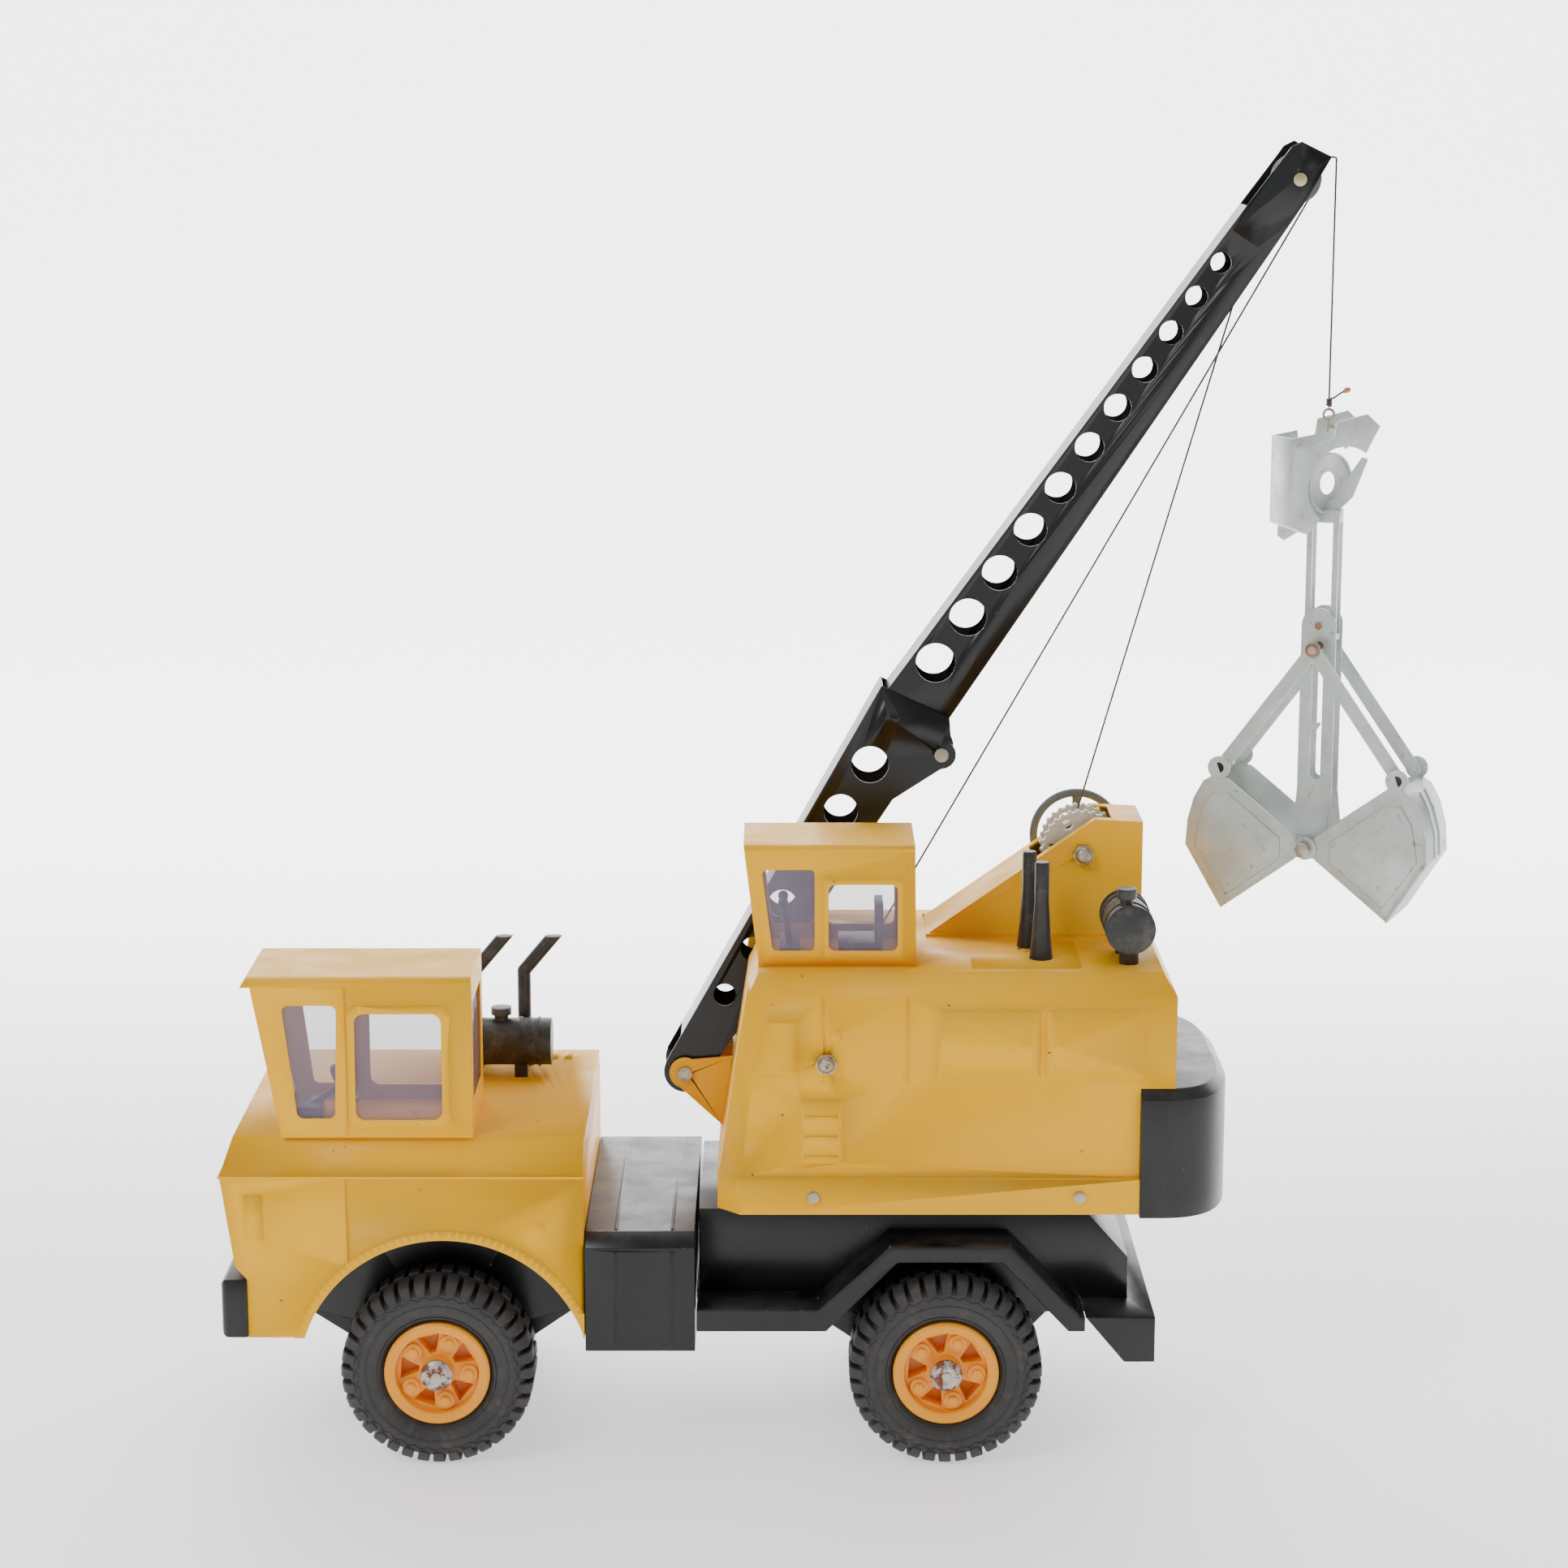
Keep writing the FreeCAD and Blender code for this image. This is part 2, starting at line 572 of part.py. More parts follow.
def roofStack(x, y):
    """tapered exhaust on the roof, waisted above its flared foot"""
    z = turretTop + 1.0
    profile = [(0, z), (7.2, z), (5.8, z + 14), (4.4, z + 36), (4.4, z + 58), (3.9, z + 60), (0, z + 60)]
    f = face([V(x + r, y, h) for r, h in profile])
    return f.revolve(V(x, y, 0), V(0, 0, 1), 360)


def roofStacks():
    return Part.makeCompound([roofStack(113, -50), roofStack(107.4, -20)])


def roofMuffler():
    """drum-shaped air cleaner across the roof, with bands, a cap and a foot"""
    x, z, r = 165.8, 323.5, 14.4
    s = [rodY(x, z, r, -68, -22)]
    s += [rodY(x, z, r + 0.8, y, y + 2) for y in (-67, -56, -34, -24)]
    s += [rodZ(x - 2, -58, 4.0, z + 10, z + 19), rodZ(x - 2, -58, 6.0, z + 18, z + 24)]
    s += [rodZ(x, -58, 6.0, turretTop, z - 10), rodZ(x, -32, 6.0, turretTop, z - 10)]
    return fuse(s)


def boomEar(side):
    """bracket that carries one end of the boom pivot"""
    y0, y1 = (16.0, 18.0) if side < 0 else (58.0, 60.0)
    r = 10.0
    arm = slab([(boomFootX - 6, boomFootZ + 8), (-66, 222), (-66, 176), (-80.5, 174), (boomFootX - 9,
            boomFootZ - 4)],
               y0, y1)
    s = fuse([arm, rodY(boomFootX, boomFootZ, r, y0, y1)])
    s = s.cut(turretSolid(0).cut(notchSolid(0)))
    s = max(s.Solids, key=lambda p: p.Volume)
    return s.cut(rodY(boomFootX, boomFootZ, axleR, 0, 80))


def boomPin():
    return fuse([rodY(boomFootX, boomFootZ, axleR, 13, 63), rodY(boomFootX, boomFootZ, 4.6, 13, 16),
                 rodY(boomFootX, boomFootZ, 4.6, 60, 63)])


def acorn(x, z, y, side):
    """hexagon dome nut pushed on a shaft end"""
    y0, y1 = sorted([y, y + side * 4])
    dome = Part.makeSphere(5.6, V(x, y + side * 2.4, z))
    half = dome.common(box(x - 9, x + 9, y0 - (3 if side < 0 else 0), y1 + (3 if side > 0 else 0), z - 9,
            z + 9))
    return fuse([hexagon(x, z, 6.8, y0, y1), half])


def handWheel(x, z, y, r):
    """three-spoke hand wheel"""
    ring = Part.makeTorus(r - 3, 2.6, V(x, y, z), V(0, 1, 0))
    s = [ring, rodY(x, z, 7, y - 3.5, y + 3.5)]
    for k in range(3):
        a = math.radians(90 + 120 * k)
        s.append(bar(x + 4 * math.cos(a), z + 4 * math.sin(a), x + (r - 4) * math.cos(a),
                z + (r - 4) * math.sin(a),
                     5, y - 1.5, y + 1.5))
    return fuse(s).cut(rodY(x, z, axleR, y - 10, y + 10))


def hoistShaft():
    s = [rodY(hoistX, hoistZ, axleR, -95, 104), acorn(hoistX, hoistZ, -91.8, -1)]
    s += [rodY(hoistX, hoistZ, 10, 24, 52), rodY(hoistX, hoistZ, 15, 22, 24), rodY(hoistX, hoistZ, 15, 52,
            54)]
    return fuse(s)


def luffShaft():
    return fuse([rodY(luffX, luffZ, axleR, winchNear - 5, 78), acorn(luffX, luffZ, winchNear - 0.6, -1)])


def luffDrum():
    """two ratchet discs with the cord drum between them"""
    s = [rodY(luffX, luffZ, 12, 30, 46)]
    for y in (26, 46):
        s.append(rodY(luffX, luffZ, ratchetR - 1.2, y, y + 4))
        teeth = 30
        for k in range(teeth):
            a = 2 * math.pi * k / teeth
            x, z = luffX + (ratchetR - 1.2) * math.cos(a), luffZ + (ratchetR - 1.2) * math.sin(a)
            s.append(rodY(x, z, 1.3, y, y + 4))
    drum = fuse(s)
    cuts = [rodY(luffX + 18 * math.cos(t), luffZ + 18 * math.sin(t), 3.5, 20, 60)
            for t in [2 * math.pi * k / 6 for k in range(6)]]
    return drum.cut(Part.makeCompound(cuts)).cut(rodY(luffX, luffZ, axleR, 0, 90))


# ---- boom ---------------------------------------------------------------------------------------------

def lowerOutline():
    return [(boomFootX - 12.5, boomFootZ + 6), jointFront, jointRear, (61.5, 410), (24.3, 386),
            (boomFootX + 13, boomFootZ - 4)]


def channel(outline, y0, y1, t, edge, run):
    """two cheeks and the web along their front edge"""
    cheeks = [slab(outline, y0, y0 + t), slab(outline, y1 - t, y1)]
    (x0, z0), (x1, z1) = edge
    d = math.hypot(x1 - x0, z1 - z0)
    ux, uz = (x1 - x0) / d, (z1 - z0) / d
    a, b = run
    p = (x0 + ux * a, z0 + uz * a)
    q = (x1 - ux * b, z1 - uz * b)
    nx, nz = uz * t, -ux * t
    web = slab([p, q, (q[0] + nx, q[1] + nz), (p[0] + nx, p[1] + nz)], y0, y1)
    return fuse(cheeks + [web])


def lowerBoom():
    """broad lower channel with the pivot lobes and the knee lobe"""
    pts = lowerOutline()
    s = channel(pts, boomNear, boomFar, thinSheet, (pts[0], pts[1]), (20, 0))
    lobes = []
    for y0 in (boomNear, boomFar - thinSheet):
        lobes.append(rodY(boomFootX, boomFootZ, boomFootR, y0, y0 + thinSheet))
        lobes.append(rodY(54.5, 414.4, 9, y0, y0 + thinSheet))
    pads = [rounded([(18, 433), (20, 441), (28, 441), (28, 433)], y0, y0 + 1.0, 1)
            for y0 in (boomNear - 0.7, boomFar - 0.3)]
    s = fuse([s] + lobes + pads)
    holes = []
    for k in range(6):
        x, z = 10.1 - 18.2 * k, 408.2 - 29.6 * k
        holes.append(rodY(x, z, 11.6 - 0.9 * k, 0, 80))
    s = s.cut(Part.makeCompound(holes))
    s = s.cut(rodY(54.5, 414.4, 3, 0, 80))
    return s.cut(rodY(boomFootX, boomFootZ, axleR + runFit, 0, 80))


def upperBoom():
    """long tapered channel with lightening holes, nested in the lower one"""
    g = thinSheet + 0.1
    front = [(8.0, 438.0), (236, 752)]
    outline = [front[0], front[1], (262, 787), (268, 790), (286.5, 781), (270.8, 753.5), (47, 419)]
    s = channel(outline, boomNear + g, boomFar - g, thinSheet, tuple(front), (0, 0))
    tip = [(228, 737), (261.5, 786.5), (268, 789.5), (286, 780.5), (262, 741), (243, 727)]
    tips = [slab(tip, y0, y0 + 1.2) for y0 in (boomNear + g - 1.1, boomFar - g - 0.1)]
    s = fuse([s] + tips)
    holes = []
    x0, z0, x1, z1 = 50.4, 472.2, 221.2, 717.6
    for k in range(holeCount):
        t = k / (holeCount - 1)
        t = t * (1.18 - 0.18 * t)
        holes.append(rodY(x0 + (x1 - x0) * t, z0 + (z1 - z0) * t, 12.3 - 6.0 * t, 0, 80))
    s = s.cut(Part.makeCompound(holes))
    s = s.cut(rodY(54.5, 414.4, 6.5, 0, 80)).fuse(rodY(236, 711, 1.5, boomNear + g + 0.5, boomFar - g - 0.5))
    return s.cut(rodY(sheaveX, sheaveZ, 2.5, 0, 80))


def kneeRivet():
    return fuse([rodY(54.5, 414.4, 3, boomNear - 1.5, boomFar + 1.5), rodY(54.5, 414.4, 4.4, boomNear - 2,
            boomNear),
                 rodY(54.5, 414.4, 4.4, boomFar, boomFar + 2)])


def sheavePin():
    heads = [rodY(sheaveX, sheaveZ, 4, boomNear - 1.4, boomNear), rodY(sheaveX, sheaveZ, 4, boomFar,
            boomFar + 1.4)]
    return fuse([rodY(sheaveX, sheaveZ, 2.5, boomNear - 1, boomFar + 1)] + heads)


def sheave():
    """grooved wheel at the boom's tip"""
    profile = [(2.5 + runFit, 33), (sheaveR, 33), (sheaveR, 34.5), (sheaveR - 3, 37), (sheaveR - 3, 39),
            (sheaveR, 41.5),
               (sheaveR, 43), (2.5 + runFit, 43)]
    return turned(profile, sheaveX, sheaveZ)


# ---- bucket: built square to the axes at the knot's line, then turned on its cord -------------------------

def hang(s, yaw=bucketYaw):
    s = s.copy()
    s.rotate(V(0, 0, 0), V(0, 0, 1), yaw)
    s.translate(V(knotX, boomMid, 0))
    return s


def head():
    """folded head block with a round opening, a hook notch and a cord eye"""
    outline = [(-32, 611.5), (-15, 614), (-14.2, 608), (-2.4, 610.4), (-1, 620.7), (20, 625), (29, 617.3),
               (19, 599.6), (12, 590), (-10, 562), (-19, 552.3), (-32, 558)]
    s = slab(outline, -13, 13)
    s = s.cut(slab([(-30.6, 640), (-30.6, 558.9), (-18.7, 553.7), (5, 545), (40, 600), (40, 640)], -11.6, 11.6))
    bore = rodY(5.5, 580.5, 25, -20, 20)
    s = s.cut(bore)
    ties = [rodY(-26, 606, 2.0, -14.0, 14.0), rodY(8, 616, 1.6, -12, 12)]
    return hang(fuse([s] + ties), headYaw)


def headDisc():
    """dished trip disc that leans inside the head"""
    s = Part.makeCylinder(19, 1.6).cut(Part.makeCylinder(7, 4, V(0, 0, -1)))
    lip = Part.makeCylinder(19, 4).cut(Part.makeCylinder(17.6, 5, V(0, 0, -0.5)))
    s = fuse([s, lip])
    s.rotate(V(0, 0, 0), V(1, 0, 0), 90)
    s.rotate(V(0, 0, 0), V(0, 0, 1), 38)
    s.translate(V(0, 1.0, 582))
    return hang(s, 0)


def eyelet():
    """wire eye that the cord is tied to"""
    ring = Part.makeTorus(3.2, 0.8, V(0, 0, 624.4), V(0, 1, 0))
    stem = rodZ(0, 0, 0.8, 613.5, 621.5)
    return hang(fuse([ring, stem]), 0)


def mast():
    """hanging frame: twin rails above, slotted plates below, feet bent out to the jaw pin"""
    parts = []
    wing = [(-30, 548), (-26, 545), (-9, 556), (9, 566), (17, 574), (26, 598), (22, 599), (4, 572), (-30,
            562)]
    parts.append(slab(wing, -1.5, 0.0))
    for side in (-1, 1):
        y0, y1 = sorted([side * 6.5, side * 8])
        plate = fuse([slab([(-11, 388), (11, 388), (11, 494), (-11, 494)], y0, y1), rodY(0, 494, 11, y0, y1)])
        slot = slab([(-3.6, 400), (3.6, 400), (3.6, 480.6), (-3.6, 480.6)], y0 - 1, y1 + 1)
        plate = plate.cut(slot).cut(rodY(0, 400, 3.6, -30, 30)).cut(rodY(0, 480.6, 3.6, -30, 30))
        parts.append(plate)
        foot = Part.Face(Part.makePolygon([V(-11, side * 6.5, 389.5), V(-11, side * 8, 389.5), V(-11,
                side * 17.5, 364),
                                           V(-11, side * 17.5, 348), V(-11, side * 16, 348), V(-11,
                                                   side * 16, 363.6),
                                           V(-11, side * 6.5, 389.5)])).extrude(V(22, 0, 0))
        parts.append(foot)
    for x in (-10, 6.5):
        parts.append(box(x, x + 3.5, -5.5, -3.5, 484, 566))
        parts.append(box(x, x + 3.5, 3.5, 5.5, 484, 566))
    parts.append(box(-10, 10, -6.6, 6.6, 485, 488.5))
    parts.append(box(-10, 10, -5.5, 5.5, 558, 566))
    parts.append(rodY(0, 494, 2.6, -9.4, 9.4))
    s = fuse(parts)
    return hang(s.cut(rodY(0, jawZ, 2.6, -60, 60))).cut(head()).cut(headDisc())


def jawPin():
    s = fuse([rodY(0, jawZ, 2.6, -29, 29), hexagon(0, jawZ, 5.0, -32, -28.5), hexagon(0, jawZ, 5.0, 28.5,
            32)])
    return hang(s)


def jawOutline(sign):
    """side plate of a jaw, from the pin round by the cutting edge, the curved back and the ear"""
    cut = (sign * 53.4, jawZ - 43)
    heel = (sign * 77.5, jawZ - 4)
    rise = [(sign * 76.5, jawZ + 12), (sign * 72.5, jawZ + 27), (sign * 66.5, jawZ + 38)]
    return cut, heel, rise


def jaw(sign):
    """one half of the clam bucket: two side plates, a curved back and two lips"""
    t = 1.2
    cut, heel, rise = jawOutline(sign)
    outline = [(sign * 6, jawZ - 7), cut, heel] + rise + [(sign * 60, jawZ + 42), (sign * 50, jawZ + 40),
                                                          (sign * 6, jawZ + 7)]
    y = jawHalf
    plates = []
    for side in (-1, 1):
        yo = y if side * sign > 0 else y - 1.4
        y0, y1 = sorted([side * yo, side * (yo - t)])
        p = slab(outline, y0, y1)
        ear = rodY(sign * earX, jawZ + earZ, 7.2, y0, y1)
        boss = rodY(0, jawZ, 7.2 if side * sign > 0 else 7.0, y0, y1)
        panel = rounded([(sign * 16, jawZ - 8), (sign * 50, jawZ - 34), (sign * 71, jawZ - 3), (sign * 67,
                jawZ + 20),
                         (sign * 60, jawZ + 31), (sign * 50, jawZ + 31), (sign * 16, jawZ + 5)],
                        *sorted([side * (yo - 0.2), side * (yo + 0.45)]), 3)
        plates.append(fuse([p, ear, boss, panel]))
        plates[-1] = plates[-1].cut(rodY(0, jawZ, 2.6 + runFit, -60, 60))
        stub = rodY(sign * earX, jawZ + earZ, 2.4, *sorted([side * 21.4, side * (yo - 0.3)]))
        plates[-1] = plates[-1].fuse(stub)
    back = [cut, heel] + rise + [(sign * 60, jawZ + 42)]
    inner = [(sign * (abs(x) - t * 0.9), z + (0.8 if k < 2 else -0.1)) for k, (x, z) in enumerate(back)]
    shell = slab(back + inner[::-1], -(y - 0.4), y - 0.4)
    ribs = []
    for yy in (-6, 6):
        ribs.append(slab([heel, (sign * 78.6, jawZ - 3)] + [(x + sign * 0.9, z) for x,
                z in rise] + rise[::-1], yy - 1, yy + 1))
    return hang(fuse(plates + [shell] + ribs))


def crosshead():
    """pin that slides in the mast slots, with its rivet heads"""
    s = fuse([rodY(0, crossZ, 3.0, -21, 21), rodY(0, crossZ, 4.4, -22.3, -20.9), rodY(0, crossZ, 4.4, 20.9,
            22.3)])
    return hang(s)


def strut(sign):
    """pair of links from the crosshead towards one jaw's ears"""
    s = []
    for side in (-1, 1):
        inner = 17.6 if sign * side > 0 else 19.4
        y0, y1 = sorted([side * inner, side * (inner + 1.4)])
        link = bar(0, crossZ, sign * earX, jawZ + earZ, 8.5, y0, y1)
        link = link.cut(rodY(0, crossZ, 3.0 + runFit, -40, 40))
        s.append(link)
    return hang(Part.makeCompound(s))


# ---- cords ----------------------------------------------------------------------------------------------

def straightCord(p, q):
    d = V(*q) - V(*p)
    return Part.makeCylinder(cordR, d.Length, V(*p), d)


def hoistLine():
    """taut run from the body winch up to the tip sheave"""
    return straightCord((hoistX + 9.3, boomMid, hoistZ + 5.4), (sheaveX + 11.6, boomMid, sheaveZ - 6.2))


def luffLine():
    """taut run from the roof winch to the boom's underside"""
    y = boomMid + 5
    return straightCord((luffX - 4, y, luffZ + 12.6), (236.8, y, 709))


def dropLine():
    """run from the tip down to the knot on the bucket's eye"""
    return straightCord((knotX, boomMid, 628.6), (knotX, boomMid, 780))


def main():
    os.makedirs("parts", exist_ok=True)
    for end, x in (("front", frontAxleX), ("rear", rearAxleX)):
        for name, side in (("left", -1), ("right", 1)):
            save("tyre_%s_%s" % (end, name), tyre(x, side))
            save("hub_%s_%s" % (end, name), hub(x, side))
    save("axles", axles())
    save("axle_push_nuts", pushNuts())
    save("front_body", frontBody())
    save("front_cab", frontCab())
    save("cab_glazing", cabGlazing())
    save("steering_wheel", steeringWheel())
    save("front_bumper", frontBumper())
    save("wheel_liners", wheelLiners())
    save("front_frame", frontFrame())
    save("hood_air_cleaner", airCleaner())
    save("hood_exhausts", Part.makeCompound([exhaust(-210.5, 63), exhaust(-242, 63)]))
    save("battery_box", batteryBox())
    save("chassis", chassis())
    save("fender_left", fender(-1))
    save("fender_right", fender(1))
    save("rear_bumper", rearBumper())
    save("slew_pin", slewPin())
    save("turret_body", turretBody())
    save("turret_floor", turretPlate())
    save("turret_screws", turretScrews())
    save("turret_cab", turretCab())
    save("turret_glazing", turretGlazing())
    save("control_levers", controlLevers())
    save("counterweight", counterweight())
    save("winch_housing", winchHousing())
    save("roof_stacks", roofStacks())
    save("roof_air_cleaner", roofMuffler())
    save("boom_ears", Part.makeCompound([boomEar(-1), boomEar(1)]))
    save("boom_pin", boomPin())
    save("hoist_winch", hoistShaft())
    save("hoist_hand_wheel", handWheel(hoistX, hoistZ, 98, 22))
    save("luff_shaft", luffShaft())
    save("luff_drum", luffDrum())
    save("luff_hand_wheel", handWheel(luffX, luffZ, 71, handR))
    save("lower_boom", lowerBoom())
    save("upper_boom", upperBoom())
    save("knee_rivet", kneeRivet())
    save("sheave_pin", sheavePin())
    save("boom_sheave", sheave())
    save("bucket_head", head())
    save("trip_disc", headDisc())
    save("cord_eye", eyelet())
    save("bucket_mast", mast())
    save("jaw_pin", jawPin())
    save("jaw_left", jaw(-1))
    save("jaw_right", jaw(1))
    save("crosshead_pin", crosshead())
    save("strut_left", strut(-1))
    save("strut_right", strut(1))
    save("hoist_line", hoistLine())
    save("luff_line", luffLine())
    save("drop_line", dropLine())


main()
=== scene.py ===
import json
import math
import bpy
import bmesh
from mathutils import Matrix, Vector


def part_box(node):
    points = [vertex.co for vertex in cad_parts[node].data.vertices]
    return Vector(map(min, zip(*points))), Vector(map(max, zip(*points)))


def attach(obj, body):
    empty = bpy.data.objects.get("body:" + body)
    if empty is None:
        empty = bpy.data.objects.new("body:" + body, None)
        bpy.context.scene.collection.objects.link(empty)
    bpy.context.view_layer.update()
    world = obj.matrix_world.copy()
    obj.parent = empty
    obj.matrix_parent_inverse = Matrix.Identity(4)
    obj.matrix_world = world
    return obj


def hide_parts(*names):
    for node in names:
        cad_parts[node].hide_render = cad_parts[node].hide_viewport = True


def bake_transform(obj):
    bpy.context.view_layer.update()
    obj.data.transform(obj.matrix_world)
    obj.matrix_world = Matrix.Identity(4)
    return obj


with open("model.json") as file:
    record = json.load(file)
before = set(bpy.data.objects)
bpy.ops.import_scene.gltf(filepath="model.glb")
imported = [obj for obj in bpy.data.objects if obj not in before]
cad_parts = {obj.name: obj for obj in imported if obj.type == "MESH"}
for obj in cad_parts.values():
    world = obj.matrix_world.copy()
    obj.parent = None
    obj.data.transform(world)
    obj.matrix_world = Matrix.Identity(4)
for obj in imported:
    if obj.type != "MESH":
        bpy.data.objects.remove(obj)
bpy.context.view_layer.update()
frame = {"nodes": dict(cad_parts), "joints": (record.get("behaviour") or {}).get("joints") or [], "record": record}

record = frame["record"]
nodeBody = {n: b for b, members in record["behaviour"]["bodies"].items() for n in members}
nodeSlot = {s["node"]: s["material_slot"] for s in record["subparts"]}
jointOf = {j["name"]: j for j in frame["joints"]}
print("frame loaded:", len(nodeBody), "nodes")

# camera and studio
cameraSet = {"x": -0.0378, "y": -2.148, "height": 0.837, "tiltDown": 11.5, "lens": 81.5}
studioSet = {"floorSize": 12.0, "floorColour": (0.86, 0.86, 0.875), "skyStrength": 0.42,
             "paperGlow": 0.8, "wallGlow": 3.2}


def makeCamera():
    data = bpy.data.cameras.new("camera")
    data.lens, data.sensor_width = cameraSet["lens"], 36.0
    data.clip_start, data.clip_end = 0.05, 60
    cam = bpy.data.objects.new("camera", data)
    bpy.context.scene.collection.objects.link(cam)
    cam.location = (cameraSet["x"], cameraSet["y"], cameraSet["height"])
    cam.rotation_euler = (math.radians(90 - cameraSet["tiltDown"]), 0, 0)
    bpy.context.scene.camera = cam


def areaLight(name, place, aim, size, power, colour=(1, 1, 1)):
    data = bpy.data.lights.new(name, "AREA")
    data.shape, data.size, data.size_y = "RECTANGLE", size[0], size[1]
    data.energy, data.color = power, colour
    lamp = bpy.data.objects.new(name, data)
    bpy.context.scene.collection.objects.link(lamp)
    lamp.location = place
    lamp.rotation_euler = (Vector(aim) - Vector(place)).to_track_quat("-Z", "Y").to_euler()


class Graph:
    # a small helper that adds nodes and links to a tree
    def __init__(self, tree):
        self.tree = tree
        tree.nodes.clear()

    def add(self, kind, inputs=None, **settings):
        node = self.tree.nodes.new(kind)
        for key, value in settings.items():
            setattr(node, key, value)
        for key, value in (inputs or {}).items():
            socket = node.inputs[key]
            if isinstance(value, bpy.types.NodeSocket):
                self.tree.links.new(value, socket)
            else:
                socket.default_value = value
        return node


def newMaterial(name):
    mat = bpy.data.materials.new(name)
    mat.use_nodes = True
    return mat, Graph(mat.node_tree)


def rgba(colour):
    return (colour[0], colour[1], colour[2], 1.0)


def noise(g, place, scale, detail=4.0, rough=0.55):
    return g.add("ShaderNodeTexNoise", {"Vector": place, "Scale": scale, "Detail": detail, "Roughness": rough})


def ramp(g, fac, low, high):
    return g.add("ShaderNodeMapRange", {"Value": fac, "From Min": low, "From Max": high}, clamp=True)


def mix(g, fac, a, b):
    node = g.add("ShaderNodeMix", data_type="RGBA")
    for socket, value in ((node.inputs[0], fac), (node.inputs[6], a), (node.inputs[7], b)):
        if isinstance(value, bpy.types.NodeSocket):
            g.tree.links.new(value, socket)
        else:
            socket.default_value = value
    return node.outputs[2]


def finishShader(g, colour, rough, bumpHeight=None, bumpDistance=0.0002, bumpStrength=0.5, **fixed):
    bsdf = g.add("ShaderNodeBsdfPrincipled")
    for socket, value in (("Base Color", colour), ("Roughness", rough)):
        if isinstance(value, bpy.types.NodeSocket):
            g.tree.links.new(value, bsdf.inputs[socket])
        else:
            bsdf.inputs[socket].default_value = value
    for key, value in fixed.items():
        socket = bsdf.inputs[key.replace("_", " ")]
        if isinstance(value, bpy.types.NodeSocket):
            g.tree.links.new(value, socket)
        else:
            socket.default_value = value
    if bumpHeight is not None:
        bump = g.add("ShaderNodeBump", {"Height": bumpHeight, "Distance": bumpDistance, "Strength": bumpStrength})
        g.tree.links.new(bump.outputs[0], bsdf.inputs["Normal"])
    out = g.add("ShaderNodeOutputMaterial")
    g.tree.links.new(bsdf.outputs[0], out.inputs["Surface"])
    return bsdf


# enamel over steel: colour drift, dust on level faces, scuffs, chips and rust
enamelSet = {
    "yellow": {"base": (0.93, 0.45, 0.0), "pale": (0.94, 0.49, 0.0), "dust": (0.85, 0.55, 0.16),
               "bare": (0.16, 0.075, 0.035),
               "dustAmount": 0.35, "rough": 0.33, "chip": 0.705, "edgeChip": 0.60, "coat": 0.04, "sheen": 0.16},
    "black": {"base": (0.004, 0.0045, 0.005), "pale": (0.009, 0.010, 0.011), "dust": (0.20, 0.19, 0.18),
              "bare": (0.20, 0.16, 0.12),
              "dustAmount": 0.22, "rough": 0.27, "chip": 0.715, "edgeChip": 0.63, "coat": 0.05, "sheen": 0.4},
}


def enamel(name, look, edge):
    s = enamelSet[look]
    mat, g = newMaterial(name)
    place = g.add("ShaderNodeTexCoord").outputs["Object"]
    drift = noise(g, place, 9.0, 3.0).outputs[0]
    base = mix(g, ramp(g, drift, 0.35, 0.7).outputs[0], rgba(s["base"]), rgba(s["pale"]))
    up = g.add("ShaderNodeSeparateXYZ", {0: g.add("ShaderNodeTexCoord").outputs["Normal"]}).outputs[2]
    blotch = noise(g, place, 34.0, 6.0, 0.65).outputs[0]
    level = ramp(g, up, 0.35, 0.95).outputs[0]
    patch = ramp(g, blotch, 0.38, 0.72).outputs[0]
    dust = g.add("ShaderNodeMath", {0: level, 1: patch}, operation="MULTIPLY").outputs[0]
    dust = g.add("ShaderNodeMath", {0: dust, 1: s["dustAmount"]}, operation="MULTIPLY").outputs[0]
    dusted = mix(g, dust, base, rgba(s["dust"]))
    # scuffs are long thin marks, chips are small irregular spots
    stretch = g.add("ShaderNodeMapping", {"Vector": place, "Rotation": (0.2, 0.5, 0.9), "Scale": (26, 140, 60)})
    line = noise(g, stretch.outputs[0], 2.2, 5.0, 0.6).outputs[0]
    scuff = ramp(g, line, 0.70, 0.78).outputs[0]
    faint = g.add("ShaderNodeMath", {0: scuff, 1: 0.35}, operation="MULTIPLY").outputs[0]
    scuffed = mix(g, faint, dusted, rgba(s["bare"]))
    speck = noise(g, place, 95.0, 7.0, 0.62).outputs[0]
    limit = s["edgeChip"] if edge else s["chip"]
    chip = ramp(g, speck, limit, limit + 0.012).outputs[0]
    colour = mix(g, chip, scuffed, rgba(s["bare"]))
    smear = noise(g, place, 16.0, 5.0, 0.7).outputs[0]
    rough = g.add("ShaderNodeMapRange", {"Value": smear, "To Min": s["rough"] - 0.09,
                                         "To Max": s["rough"] + 0.17}).outputs[0]
    rough = g.add("ShaderNodeMath", {0: rough, 1: dust}, operation="ADD").outputs[0]
    peel = noise(g, place, 420.0, 2.0).outputs[0]
    wave = noise(g, place, 22.0, 2.0).outputs[0]
    skin = g.add("ShaderNodeMath", {0: peel, 1: 0.12, 2: wave}, operation="MULTIPLY_ADD").outputs[0]
    height = g.add("ShaderNodeMath", {0: skin, 1: chip}, operation="SUBTRACT").outputs[0]
    finishShader(g, colour, rough, height, 0.0006, 0.32, Coat_Weight=s["coat"], Coat_Roughness=0.14,
                 Specular_IOR_Level=s["sheen"])
    return mat


